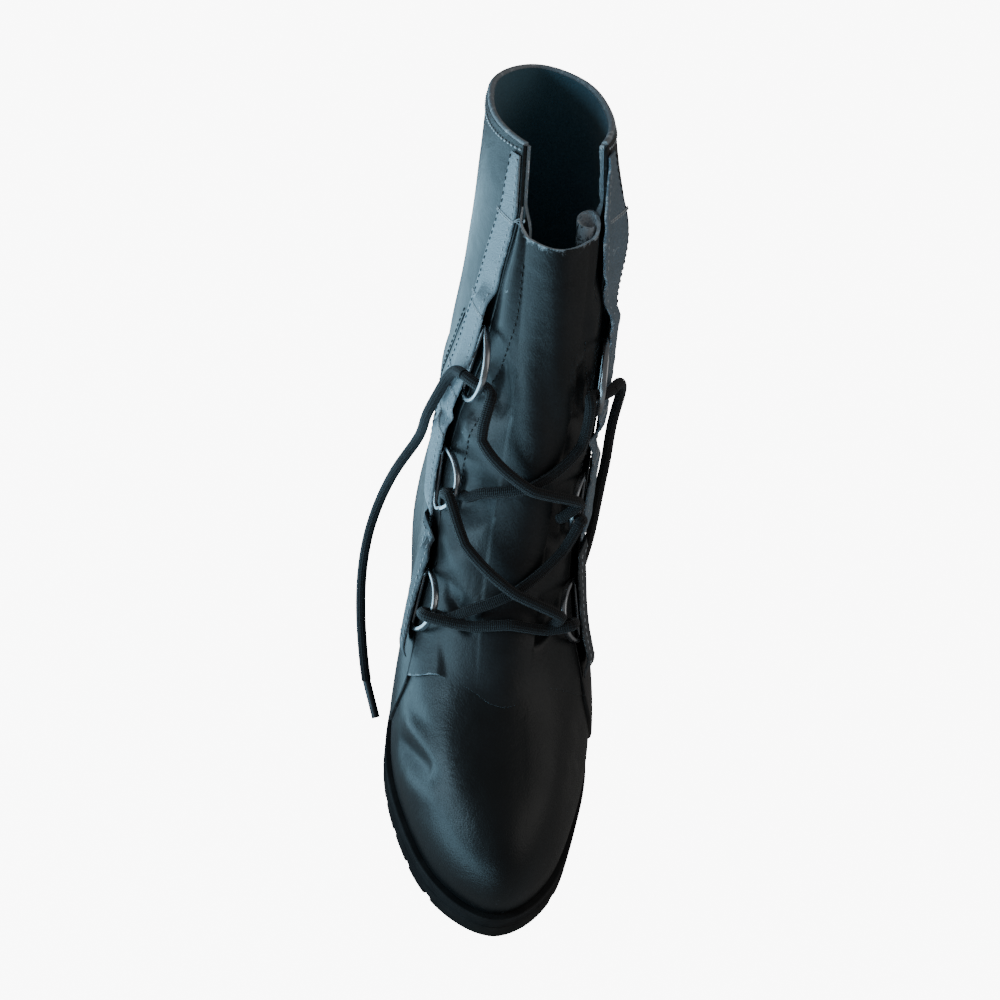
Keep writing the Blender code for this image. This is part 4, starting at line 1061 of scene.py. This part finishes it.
# The second colour shows on rubbed places, and as painted highlight on the inner corner's lower edge and on
# the fold ridges.
TONGUE_LEATHER = leather("tongue_leather", base=(0.006, 0.0065, 0.007), worn=(0.40, 0.44, 0.47),
                         grain=0.16, rough=0.42, gloss=0.5)
TONGUE_FLESH = leather("tongue_flesh", base=(0.36, 0.42, 0.46), worn=(0.62, 0.67, 0.71),
                       grain=0.6, rough=0.7, gloss=0.3)
tongue = make_tongue()
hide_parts("tongue")
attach(tongue, "root")
tongue_seams = []
for side, sign in SIGN.items():
    line = np.array(TONGUE_SEAM, float)
    front, way = (spline_weights(np.arange(len(line)), np.linspace(0.0, len(line) - 1.0, 80)) @ line).T
    reach = np.abs(edge_at(side, up_at(front)))
    share = np.clip((way - GUSSET_EDGE) / (reach - GUSSET_EDGE), 0.0, 1.0)
    lift = gusset_lift(side, up_at(front), sign * way, share)
    lift += GUSSET_THICK + (GUSSET_RIM - GUSSET_THICK) * share + 0.1
    lift += fold_relief(TONGUE_FOLDS, spot(up_at(front), sign * way))
    tongue_seams.append(spot(up_at(front), sign * way, lift)[front < SEAM_TOP[side]])
sew("stitches_tongue", tongue_seams, DARK_THREAD, pitch=2.8, length=1.9)
top_front, top_way = (np.linspace(*TOP_ROW[column], 30) for column in ("front", "way"))
top_row = spot(up_at(top_front), top_way, TONGUE_LIFT + TONGUE_THICK + TOP_ROW["lift"])
sew("stitches_tongue_top", [top_row], PALE_THREAD, pitch=3.0, length=1.7, thread=0.7)


# Tabs
# A short reinforcement at the lower front corner of each quarter, sewn round with pale thread; it covers the
# loop that holds the lowest lace ring.
FACING_THICK = 1.1
FACING_LIFT = QUARTER_STEP + 0.45
FACING_SETBACK = 0.8
TUNNEL_REACH = (8.0, 16.0)
TUNNEL_SHARE = (0.48, 0.75)
TUNNEL_PLAY = 0.65
OVERHANG_LIFT = 1.2
OVERHANG_REACH = 5.0
OVERLAY_PACE = 1.6
THREAD_SUNK = 0.06
TAB_ROWS = (62.5, 94.5)
TAB_WIDTH = (
    dict(front=60.0, width=14.0, over=0.0),
    dict(front=97.0, width=16.0, over=0.0),
)


def strip_way(side, widths, ups, shares):
    """Way of points at shares of an overlay's width; the outer facing hangs over the quarter's edge."""
    over = table_at(widths, "over", ups) * (side == "lateral")
    width = table_at(widths, "width", ups)
    return edge_at(side, ups) + SIGN[side] * (FACING_SETBACK - over * (1.0 - shares) + width * shares)


def overlay_lift(side, ups, ways, shares):
    """Lift of an overlay's inner side: low on the quarter, and raised over the bars of the lace rings."""
    points = spot(ups, ways)
    over = np.zeros(ups.shape)
    for ring in RINGS:
        middle, along, out, rise = ring_frame(side, ring)
        over = np.maximum(over, 1.0 - ease(np.abs((points - middle) @ along) - ring["half"], *TUNNEL_REACH))
    over *= 1.0 - ease(shares, *TUNNEL_SHARE)
    raised = QUARTER_STEP + RING_BAR + 2.0 * RING_SEAT + TUNNEL_PLAY
    behind = SIGN[side] * (ways - edge_at(side, ups))
    free = OVERHANG_LIFT * ease(-behind, 0.0, OVERHANG_REACH)
    return FACING_LIFT + over * (raised - FACING_LIFT) + flare(side, ups, behind) + free


def make_overlay(name, side, widths, material, ripple, wear):
    """A strip of leather along the quarter's front edge, with rounded edges; ripple is its waviness."""
    first, last = (float(up_at(widths[i]["front"])) for i in (0, -1))
    rows = round((last - first) * CLIMB[-1] / OVERLAY_PACE)
    shares = np.array([0.0, 0.02, 0.06, *np.linspace(0.12, 0.88, 13), 0.94, 0.98, 1.0])
    edge_drop = np.array([0.55, 0.22, 0.05, *np.zeros(13), 0.05, 0.22, 0.55])
    ups = np.repeat(np.linspace(first, last, rows)[:, None], len(shares), axis=1)
    ways = strip_way(side, widths, ups, shares)
    lift = overlay_lift(side, ups, ways, np.broadcast_to(shares, ups.shape))
    end_drop = 0.5 * np.exp(-np.minimum(np.arange(rows), rows - 1 - np.arange(rows)) / 0.7)[:, None]
    run = ups * CLIMB[-1]
    wave = np.sin(run * 0.31 + 1.0) + 0.6 * np.sin(run * 0.73 + shares * 4.0)
    free = np.clip(ripple * wave * (1.0 - shares) ** 1.5, 0.0, None)
    outer = spot(ups, ways, lift + FACING_THICK - np.maximum(edge_drop, end_drop) + free)
    inner = spot(ups, ways, lift + free * 0.8)
    worn = np.maximum(wear, 0.75 * np.exp(-np.minimum(shares, 1.0 - shares) / 0.05)) * np.ones(ups.shape)
    step = int(SIGN[side])
    obj = wall(name, outer[:, ::step], inner[:, ::step], (material,), marks={"wear": worn[:, ::step]})
    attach(obj, "root")
    return obj


def overlay_line(side, widths, share, front_low, front_high, count=120):
    """Points on top of an overlay, at one share of its width."""
    ups = np.linspace(float(up_at(front_low)), float(up_at(front_high)), count)
    ways = strip_way(side, widths, ups, share)
    lift = overlay_lift(side, ups, ways, np.full(count, share))
    return spot(ups, ways, lift + FACING_THICK + THREAD_SUNK)


def overlay_cross(side, widths, front, low=0.14, high=0.86):
    """Points across an overlay at one height."""
    shares = np.linspace(low, high, 24)
    ups = np.full(24, float(up_at(front)))
    ways = strip_way(side, widths, ups, shares)
    lift = overlay_lift(side, ups, ways, shares)
    return spot(ups, ways, lift + FACING_THICK + THREAD_SUNK)


# Lighter and bluer than the boot's black leather, standing in for window light on the tabs: painted light.
TAB_LEATHER_PAINTED_LIGHT = leather("tab_leather_painted_light", base=(0.075, 0.085, 0.093), worn=(0.30, 0.335, 0.355),
                      grain=0.4, rough=0.46, gloss=0.5)
for side in SIGN:
    tab = make_overlay(f"tab_leather_painted_light_{side}", side, TAB_WIDTH, TAB_LEATHER_PAINTED_LIGHT, 0.0, 0.12)
    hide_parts(f"tab_{side}")
    tab_rows = [overlay_line(side, TAB_WIDTH, share, *TAB_ROWS) for share in (0.14, 0.86)]
    tab_rows += [overlay_cross(side, TAB_WIDTH, front) for front in TAB_ROWS]
    sew(f"stitches_tab_{side}", tab_rows, PALE_THREAD, pitch=2.9)


# Facings
# A strip of leather folded round the front edge of each quarter, from the collar to the tab, with a row of
# stitches along both edges and bar tacks over the rings. The inner one is rubbed pale, the outer crinkled;
# both are painted far lighter and bluer than the boot's black leather, which stands in for the cool window
# light on
# them: painted light.
FACING_WIDTH = (
    dict(front=101.0, width=20.0, over=0.0),
    dict(front=128.0, width=22.0, over=0.0),
    dict(front=178.0, width=18.0, over=0.0),
    dict(front=198.0, width=15.0, over=0.5),
    dict(front=220.0, width=12.5, over=5.5),
    dict(front=240.0, width=10.5, over=7.0),
    dict(front=254.0, width=8.0, over=5.5),
    dict(front=267.0, width=5.0, over=3.0),
)
FACING_ROWS = (103.0, 265.0)
BAR_TACKS = (132.0, 152.0, 196.0, 241.0)
FRAY_FRONT = 242.0
FRAYS = (dict(reach=3.4, rise=1.6), dict(reach=4.4, rise=0.2), dict(reach=3.0, rise=-1.4))
# Pale blue-grey colours standing in for window light on the facings: painted light; the inner one is rubbed
# as well.
FACING_LEATHER_PAINTED_LIGHT = dict(
    medial=leather("facing_leather_inner_painted_light", base=(0.27, 0.31, 0.335), worn=(0.66, 0.71, 0.74),
                   grain=0.5, rough=0.5, gloss=0.5),
    lateral=leather("facing_leather_outer_painted_light", base=(0.21, 0.28, 0.34), worn=(0.74, 0.80, 0.85),
                    grain=1.0, rough=0.45, gloss=0.6),
)
for side, ripple, wear in (("medial", 0.12, 0.22), ("lateral", 0.7, 0.42)):
    facing = make_overlay(f"facing_leather_{side}", side, FACING_WIDTH, FACING_LEATHER_PAINTED_LIGHT[side], ripple, wear)
    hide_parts(f"facing_{side}")
    for edge_name, share, dye in (("front", 0.14, PALE_THREAD), ("rear", 0.9, DARK_THREAD)):
        facing_row = overlay_line(side, FACING_WIDTH, share, *FACING_ROWS, 200)
        sew(f"stitches_facing_{side}_{edge_name}", [facing_row], dye, pitch=2.8, length=1.7)
    tacks = [overlay_cross(side, FACING_WIDTH, front + step, 0.02, 0.98)
             for front in BAR_TACKS for step in (0.0, 0.9)]
    sew(f"bar_tacks_{side}", tacks, PALE_THREAD, pitch=1.3, length=1.6, thread=0.75)
for number, loose in enumerate(FRAYS, 1):
    start = overlay_cross("medial", FACING_WIDTH, FRAY_FRONT, 0.0, 0.1)[0]
    bend = np.linspace(0.0, 1.0, 7)[:, None]
    fibre = start + bend * np.array((loose["reach"], -0.4, loose["rise"]))
    fibre += np.sin(bend * np.pi) * np.array((0.0, -0.3, 0.7))
    fray = sweep(f"frayed_thread_{number}", fibre, oval(0.2, 0.2, 6), PALE_THREAD)
    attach(fray, "root")


# Lace rings
# Steel strip bent to a D and closed behind its bar, with gunmetal plating that is rubbed bright where the
# lace runs. The bar lies in a tunnel under tab or facing, which is sewn down round it.
RING_FACETS = 16
BOW_ENDS = (math.radians(7.0), math.radians(173.0))
BROADENS = (4.0, 9.0)
SQUARENESS = 0.6


def gunmetal(name, base, bright, rough):
    """Plated metal with fine scratches and brighter rubbed places."""
    material, tree, shader = new_finish(name)
    place = node(tree, "ShaderNodeTexCoord").outputs["Object"]
    rub = noise(tree, place, 120.0, 4.0).outputs[0]
    scratch = noise(tree, place, 2400.0, 3.0, distortion=2.0).outputs[0]
    feed(tree, shader, {
        "Base Color": blend(tree, rub, (*base, 1.0), (*bright, 1.0)),
        "Roughness": ramp(tree, rub, to_min=rough + 0.1, to_max=rough - 0.08),
        "Normal": bump(tree, scratch, 0.15, 0.00005), "Metallic": 1.0})
    return material


def make_ring(name, side, ring):
    """A D: a bar under the leather and a bow out over the tongue, of a strip with rounded edges."""
    middle, along, out, rise = ring_frame(side, ring)
    bar = ring["half"] - RING_STRIP
    angles = np.linspace(*BOW_ENDS, 44)
    path = [(x, 0.0) for x in np.linspace(-bar, bar, 8)]
    path += [(ring["half"] * math.cos(angle), RING_DEPTH * math.sin(angle)) for angle in angles]
    path = np.array(path)
    tangent = np.roll(path, -1, axis=0) - np.roll(path, 1, axis=0)
    tangent /= np.linalg.norm(tangent, axis=1)[:, None]
    turn = np.arange(RING_FACETS) * math.tau / RING_FACETS
    strip, broad_way = (np.sign(wave) * np.abs(wave) ** SQUARENESS for wave in (np.cos(turn), np.sin(turn)))
    points = []
    for (t, o), (dt, do) in zip(path, tangent):
        broad = (RING_BAR + (RING_BROAD - RING_BAR) * float(ease(o, *BROADENS))) / 2
        for r, n in zip(strip * RING_STRIP / 2, broad_way * broad):
            points.append(middle + (t + r * do) * along + (o - r * dt) * out + n * rise)
    faces = []
    for i in range(len(path)):
        here, there = i * RING_FACETS, (i + 1) % len(path) * RING_FACETS
        for a in range(RING_FACETS):
            b = (a + 1) % RING_FACETS
            faces.append([here + a, there + a, there + b, here + b])
    return add_piece(name, points, faces, (RING_METAL,))


RING_METAL = gunmetal("ring_metal", base=(0.33, 0.35, 0.37), bright=(0.78, 0.80, 0.82), rough=0.26)
for side in SIGN:
    for number, ring in enumerate(RINGS, 1):
        bow = make_ring(f"ring_{side}_{number}", side, ring)
        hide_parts(f"d_ring_{side}_{number}")
        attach(bow, "root")


# Insole
# A board covered with felt, laid into the upper on top of the wedge. Wear has pressed it hollow under the
# heel and the ball of the foot.
INSOLE_THICK = 3.0
INSOLE_PLAY = 1.3
INSOLE_SIDE = ((0.0, 0.4), (0.15, 0.0), (0.8, 0.0), (0.95, 0.3), (1.0, 0.9))
DENTS = (dict(middle=82.0, reach=26.0, depth=1.1), dict(middle=-52.0, reach=30.0, depth=0.7))
GAP = 0.3


def layer(name, outline, low, high, profile, material, crown=None):
    """A layer of the sole: an outline between two heights along the foot. profile lists, from bottom to top,
    the share of the height and how far the side is set in; crown bends the top."""
    count = len(outline)
    centre = np.column_stack([np.interp(outline[:, 1], *middle_line(outline)), outline[:, 1]])
    towards = centre - outline
    away = np.linalg.norm(towards, axis=1)[:, None]
    towards = towards / np.maximum(away, 1e-6)
    rings = []
    for share, inset in profile:
        edge = outline + towards * np.minimum(inset, away * 0.9)
        z = low(edge[:, 1]) + (high(edge[:, 1]) - low(edge[:, 1])) * share
        rings.append(np.column_stack([edge, z]))
    faces = []
    for r in range(len(rings) - 1):
        for i in range(count):
            j = (i + 1) % count
            faces.append([r * count + i, r * count + j, (r + 1) * count + j, (r + 1) * count + i])
    points = list(np.concatenate(rings))
    spans = np.linspace(0.0, 1.0, 9)
    for ring, level in ((0, low), (len(rings) - 1, high)):
        cells = {}
        pairs = [(i, (count - i) % count) for i in range(count // 2 + 1)]
        for p, (a, b) in enumerate(pairs):
            start, end = points[ring * count + a], points[ring * count + b]
            for s, span in enumerate(spans):
                if s == 0 or a == b:
                    cells[p, s] = ring * count + a
                elif s == len(spans) - 1:
                    cells[p, s] = ring * count + b
                else:
                    place = start + (end - start) * span
                    place[2] = start[2] + (crown(place, span) if crown and level is high else 0.0)
                    cells[p, s] = len(points)
                    points.append(place)
        for p in range(len(pairs) - 1):
            for s in range(len(spans) - 1):
                quad = [cells[p, s], cells[p, s + 1], cells[p + 1, s + 1], cells[p + 1, s]]
                quad = list(dict.fromkeys(quad))
                if len(quad) > 2:
                    faces.append(quad)
    return add_piece(name, np.array(points), faces, (material,), smooth_angle=40.0)


def middle_line(outline):
    """Middle of an outline along the foot: places along it, and the middle across."""
    half = len(outline) // 2
    order = np.argsort(outline[:half + 1, 1])
    right = outline[:half + 1][order]
    back = np.vstack([outline[half:], outline[:1]])
    left = back[np.argsort(back[:, 1])]
    spans = np.linspace(outline[:, 1].min() + 6.0, outline[:, 1].max() - 6.0, 60)
    return spans, (np.interp(spans, right[:, 1], right[:, 0]) + np.interp(spans, left[:, 1], left[:, 0])) / 2


def insole_low(y):
    """Height of the insole's lower side along the foot."""
    return footbed(y) + GAP


def insole_high(y):
    """Height of the insole's upper side along the foot."""
    return footbed(y) + GAP + INSOLE_THICK


def worn_hollow(place, span):
    """Wear under the heel and the ball."""
    dents = [dent["depth"] * math.exp(-((place[1] - dent["middle"]) / dent["reach"]) ** 2) for dent in DENTS]
    return -math.sin(math.pi * span) * sum(dents)


INSOLE_FELT = felt("insole_felt", base=(0.020, 0.024, 0.032), lift=(0.055, 0.060, 0.068))
insole = layer("insole_felt", sole_outline(-WALL - INSOLE_PLAY, 160), insole_low, insole_high,
               INSOLE_SIDE, INSOLE_FELT, worn_hollow)
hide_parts("insole")
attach(insole, "root")


# Wedge
# One block of moulded rubber foam from heel to toe, glued to the upper and to the outsole; its side is finely
# ribbed by the mould and dusty, with a narrow lip where it meets the leather.
OUTSOLE_THICK = 6.0
TOE_LIFT = 9.0
TREAD_START = -62.0
HEEL_BEVEL = 2.0
HEEL_BEVEL_START = 104.0
WEDGE_SIDE = ((0.0, 0.5), (0.03, 0.0), (0.10, 0.0), (0.14, 0.5), (0.45, 0.9), (0.80, 0.5), (0.86, 0.0),
              (0.95, 0.0), (0.99, 0.35), (1.0, 0.9))


def tread(y):
    """Height of the bottom of the sole: flat from the ball to the heel, rising to the toe."""
    y = np.asarray(y, float)
    toe_line = row("feather")["front"] * LENGTH - SOLE_MARGIN
    heel_line = row("feather")["back"] * LENGTH + SOLE_MARGIN
    ahead = np.clip((TREAD_START - y) / (TREAD_START - toe_line), 0.0, 1.0)
    behind = np.clip((y - HEEL_BEVEL_START) / (heel_line - HEEL_BEVEL_START), 0.0, 1.0)
    return TOE_LIFT * ahead ** 2 + HEEL_BEVEL * behind ** 2


def wedge_low(y):
    """Height of the wedge's lower side along the foot."""
    return tread(y) + OUTSOLE_THICK + GAP


def rubber(name, base, dusty, rough, ribs):
    """Moulded rubber with dust in its texture; ribs is how strongly the mould's fine lines show."""
    material, tree, shader = new_finish(name)
    place = node(tree, "ShaderNodeTexCoord").outputs["Object"]
    lines = node(tree, "ShaderNodeTexWave", bands_direction="Z",
                 inputs={"Vector": place, "Scale": 95.0, "Distortion": 0.4, "Detail": 1.0})
    crumb = noise(tree, place, 1300.0, 4.0).outputs[0]
    soil = noise(tree, place, 55.0, 6.0, 0.68).outputs[0]
    spread = ramp(tree, soil, from_min=0.42, from_max=0.78, to_max=0.75)
    ribbed = bump(tree, lines.outputs["Fac"], ribs, 0.0003)
    feed(tree, shader, {
        "Base Color": blend(tree, spread, (*base, 1.0), (*dusty, 1.0)),
        "Roughness": ramp(tree, soil, to_min=rough - 0.1, to_max=rough + 0.12),
        "Normal": bump(tree, crumb, 0.4, 0.00012, Normal=ribbed), "Specular IOR Level": 0.4})
    return material


WEDGE_RUBBER = rubber("wedge_rubber", base=(0.010, 0.010, 0.011), dusty=(0.040, 0.041, 0.041),
                      rough=0.7, ribs=0.35)
SOLE_OUTLINE = sole_outline(SOLE_MARGIN, 224)
wedge = layer("wedge_rubber", SOLE_OUTLINE, wedge_low, footbed, WEDGE_SIDE, WEDGE_RUBBER)
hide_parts("wedge_midsole")
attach(wedge, "root")


# Outsole
# Black rubber sheet with cross lugs and one channel along the foot, cemented under the wedge and ground flush
# with it.
LUG_DEPTH = 2.6
GROOVE_WIDTH = 4.5
GROOVE_PITCH = 17.0
FIRST_GROOVE = -112.0
LAST_GROOVE = 101.0
CHANNEL_WIDTH = 5.0
CHANNEL_DEPTH = 2.4
CHANNEL_REACH = (-88.0, 88.0)
OUTSOLE_SIDE = ((0.0, 0.6), (0.08, 0.1), (0.2, 0.0), (0.8, 0.0), (0.95, 0.15), (1.0, 0.6))


def outsole_high(y):
    """Height of the outsole's upper side along the foot."""
    return tread(y) + OUTSOLE_THICK


def block(low, high):
    """A cutter box between two corners in millimetres."""
    points = [(x, y, z) for z in (low[2], high[2]) for y in (low[1], high[1]) for x in (low[0], high[0])]
    faces = [(0, 2, 3, 1), (4, 5, 7, 6), (0, 1, 5, 4), (2, 6, 7, 3), (0, 4, 6, 2), (1, 3, 7, 5)]
    return add_piece("cutter", points, faces, ())


OUTSOLE_RUBBER = rubber("outsole_rubber", base=(0.009, 0.009, 0.010), dusty=(0.055, 0.052, 0.048),
                        rough=0.75, ribs=0.15)
outsole = layer("outsole_rubber", SOLE_OUTLINE, tread, outsole_high, OUTSOLE_SIDE, OUTSOLE_RUBBER)
cutters = []
for y in np.arange(FIRST_GROOVE, LAST_GROOVE, GROOVE_PITCH):
    cutters.append(block((-BALL_WIDTH, y - GROOVE_WIDTH / 2, -LUG_DEPTH),
                         (BALL_WIDTH, y + GROOVE_WIDTH / 2, float(tread(y)) + LUG_DEPTH)))
cutters.append(block((MIDDLE[0] - CHANNEL_WIDTH / 2, CHANNEL_REACH[0], -LUG_DEPTH),
                     (MIDDLE[0] + CHANNEL_WIDTH / 2, CHANNEL_REACH[1], CHANNEL_DEPTH)))
for cutter in cutters:
    groove = outsole.modifiers.new("groove", "BOOLEAN")
    groove.operation = "DIFFERENCE"
    groove.object = cutter
bpy.context.view_layer.update()
lugged = bpy.data.meshes.new_from_object(outsole.evaluated_get(bpy.context.evaluated_depsgraph_get()))
outsole.modifiers.clear()
outsole.data = lugged
outsole.data.set_sharp_from_angle(angle=math.radians(40.0))
for cutter in cutters:
    bpy.data.objects.remove(cutter)
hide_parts("outsole")
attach(outsole, "root")


# Lace
# One round braided polyester lace: a bar between the lowest rings, two crossings over the tongue, and up
# through the top rings from inside, where its two free ends start.
LACE_PLAY = 0.4
LACE_PACE = 2.0
EXIT_DEPTH = 10.0
EXIT_RISE = 4.5
BRAID_LEAN = 0.62
BRAID_STRANDS = 6.0
LACE_TURN = dict(
    medial=(),
    lateral=((36.0, 7.5, 182.4), (38.5, 11.8, 179.4), (40.1, 14.7, 173.0)),
)
LACE_OVER = dict(
    medial=(
        dict(front=166.0, way=44.0, lift=9.4),
        dict(front=155.0, way=50.0, lift=9.2),
        dict(front=143.0, way=56.0, lift=9.3),
        dict(front=129.0, way=64.0, lift=9.5),
        dict(front=112.0, way=78.0, lift=7.0),
    ),
    lateral=(
        dict(front=152.0, way=50.0, lift=9.8),
        dict(front=138.0, way=54.5, lift=8.4),
        dict(front=120.0, way=63.0, lift=8.2),
        dict(front=104.0, way=72.0, lift=7.0),
    ),
)
LACE_FALL = dict(
    medial=(
        (-48.0, 26.0, 122.0), (-54.0, 28.5, 104.0), (-59.0, 25.5, 86.0), (-61.5, 19.0, 66.0),
        (-61.0, 11.0, 46.0), (-59.0, 4.5, 29.0), (-56.5, -1.0, 14.5), (-51.0, -15.0, 3.4),
    ),
    lateral=(
        (41.5, 22.0, 92.0), (43.0, 31.0, 70.0), (44.5, 42.0, 46.0), (45.0, 52.0, 26.0),
        (45.0, 57.5, 14.0), (44.7, 54.0, 5.8), (44.2, 45.0, 3.0), (43.5, 27.0, 2.6),
    ),
)
BAR = (
    dict(front=90.0, way=16.0, rise=0.9),
    dict(front=97.0, way=0.0, rise=0.4),
    dict(front=90.0, way=-16.0, rise=0.9),
)
LOWER_CROSSING = (
    dict(front=94.0, way=17.0, rise=2.8),
    dict(front=108.0, way=0.0, rise=0.4),
    dict(front=116.0, way=-18.0, rise=2.8),
)
UPPER_CROSSING = (
    dict(front=136.0, way=17.0, rise=2.4),
    dict(front=148.0, way=0.0, rise=0.0),
    dict(front=158.0, way=-17.0, rise=2.4),
)


def out_of_ring(side, ring):
    """Lace point above the hole of a top ring, where its free end starts."""
    middle, along, out, rise = ring_frame(side, ring)
    return middle + ring["slide"] * along + EXIT_DEPTH * out + EXIT_RISE * rise


def over_tongue(table, side, lift):
    """Lace points across the tongue, from one side to the other, at a lift over its middle."""
    return [spot(up_at(place["front"]), SIGN[side] * place["way"], lift + place["rise"]) for place in table]


def smooth_route(points, pace):
    """Points along a smooth curve through a route, about a pace apart."""
    points = np.array(points)
    ahead = np.concatenate([[2 * points[0] - points[1]], points, [2 * points[-1] - points[-2]]])
    curve = []
    for a, b, c, d in zip(ahead, ahead[1:], ahead[2:], ahead[3:]):
        count = max(2, round(np.linalg.norm(c - b) / pace))
        knots = np.append(0.0, np.cumsum([np.linalg.norm(q - p) ** 0.5 for p, q in ((a, b), (b, c), (c, d))]))
        for t in np.linspace(knots[1], knots[2], count, endpoint=False):
            line = [a, b, c, d]
            for size in (1, 2, 3):
                line = [(q * (t - knots[i]) + p * (knots[i + size] - t)) / (knots[i + size] - knots[i])
                        for i, (p, q) in enumerate(zip(line, line[1:]))]
            curve.append(line[0])
    return np.array(curve + [points[-1]])


def lace_climb(side, other, first, second):
    """Lace points from over a lowest ring, round the other side's middle ring, to inside the top ring."""
    low, mid, top = RINGS
    route = round_ring(side, low) + over_tongue(LOWER_CROSSING, side, first)
    route += round_ring(other, mid) + over_tongue(UPPER_CROSSING, other, second)
    return route + round_ring(side, top)[:2:-1]


def lace_end(side):
    """Lace points from the leather beside a top ring to the aglet's tip."""
    over = [spot(up_at(place["front"]), SIGN[side] * place["way"], place["lift"])
            for place in LACE_OVER[side]]
    turn, fall = ([np.array(place) for place in table[side]] for table in (LACE_TURN, LACE_FALL))
    return turn + over + fall


def braid(name, base, high):
    """Braided cord: strands that cross each other round the cord, with painted shade in the grooves between
    them.
    """
    material, tree, shader = new_finish(name)
    coords = node(tree, "ShaderNodeTexCoord").outputs
    spread = node(tree, "ShaderNodeSeparateXYZ", {0: coords["UV"]}).outputs
    waves = []
    for lean in (BRAID_LEAN, -BRAID_LEAN):
        run = reckon(tree, "MULTIPLY", spread[1], lean)
        turn = reckon(tree, "MULTIPLY_ADD", spread[0], BRAID_STRANDS, run)
        waves.append(reckon(tree, "SINE", reckon(tree, "MULTIPLY", turn, math.tau)))
    height = ramp(tree, reckon(tree, "MULTIPLY", *waves), from_min=-1.0, from_max=1.0)
    fuzz = noise(tree, coords["Object"], 2200.0, 3.0).outputs[0]
    strands = bump(tree, height, 0.9, 0.0004)
    # The cord is painted darker in the grooves between its strands than on their crests: painted shade.
    feed(tree, shader, {
        "Base Color": blend(tree, height, (*base, 1.0), (*high, 1.0)),
        "Normal": bump(tree, fuzz, 0.4, 0.0001, Normal=strands),
        "Roughness": 0.75, "Specular IOR Level": 0.35, "Sheen Weight": 0.15})
    return material


LACE_CORD = braid("lace_cord", base=(0.008, 0.008, 0.009), high=(0.026, 0.027, 0.029))
over = TONGUE_LIFT + TONGUE_THICK + LACE_PLAY + LACE_RADIUS
cross = over + 2.0 * LACE_RADIUS + LACE_PLAY
exits = [out_of_ring(side, RINGS[-1]) for side in SIGN]
bar = over_tongue(BAR, "medial", over)
inner_route = lace_climb("medial", "lateral", over, cross) + [exits[0]] + lace_end("medial")
outer_route = lace_climb("lateral", "medial", cross, over) + [exits[1]] + lace_end("lateral")
lace_route = smooth_route(inner_route[::-1] + bar + outer_route, LACE_PACE)
first, last = (int(np.linalg.norm(lace_route - place, axis=1).argmin()) for place in exits)
lace = sweep("lace_cord", lace_route[first:last + 1], oval(LACE_RADIUS, LACE_RADIUS, 16), LACE_CORD)
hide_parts("lace_crossings")
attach(lace, "root")


# Lace ends and aglets
# The free ends of the lace, left untied: each comes out of a top ring, lies over the leather and hangs to the
# floor beside the sole. The aglet is a tube of dark tin crimped on the braid.
AGLET_RADIUS = 1.9
AGLET_LENGTH = 18.0
EASE_ROUNDS = 14


def eased(path, rounds):
    """A cord's path with its corners let out, as a limp braid takes them; its two ends stay."""
    path = path.copy()
    for _ in range(rounds):
        path[1:-1] = (path[:-2] + 2.0 * path[1:-1] + path[2:]) / 4.0
    return path


AGLET_METAL = gunmetal("aglet_tin", base=(0.05, 0.052, 0.056), bright=(0.16, 0.165, 0.17), rough=0.42)
for side, free in (("medial", lace_route[first::-1]), ("lateral", lace_route[last:])):
    tip = free[-1]
    back = unit(np.array(LACE_FALL[side][-2]) - tip)
    neck = tip + AGLET_LENGTH * back
    kept = free[np.linalg.norm(free - tip, axis=1) > AGLET_LENGTH + 2.0 * LACE_RADIUS]
    start = kept[0] + GAP * unit(kept[1] - kept[0])
    path = np.array([start, *kept[1:], neck + (GAP + LACE_RADIUS) * back, neck + GAP * back])
    path = eased(path, EASE_ROUNDS)
    end_piece = sweep(f"lace_free_{side}", path, oval(LACE_RADIUS, LACE_RADIUS, 16), LACE_CORD)
    tube = neck + np.linspace(0.0, 1.0, 6)[:, None] * (tip - neck)
    aglet = sweep(f"aglet_tin_{side}", tube, oval(AGLET_RADIUS, AGLET_RADIUS, 16), AGLET_METAL)
    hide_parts(f"lace_end_{side}")
    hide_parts(f"aglet_{side}")
    for piece, slot_name in ((end_piece, "lace_cord"), (aglet, "ring_metal")):
        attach(piece, "root")
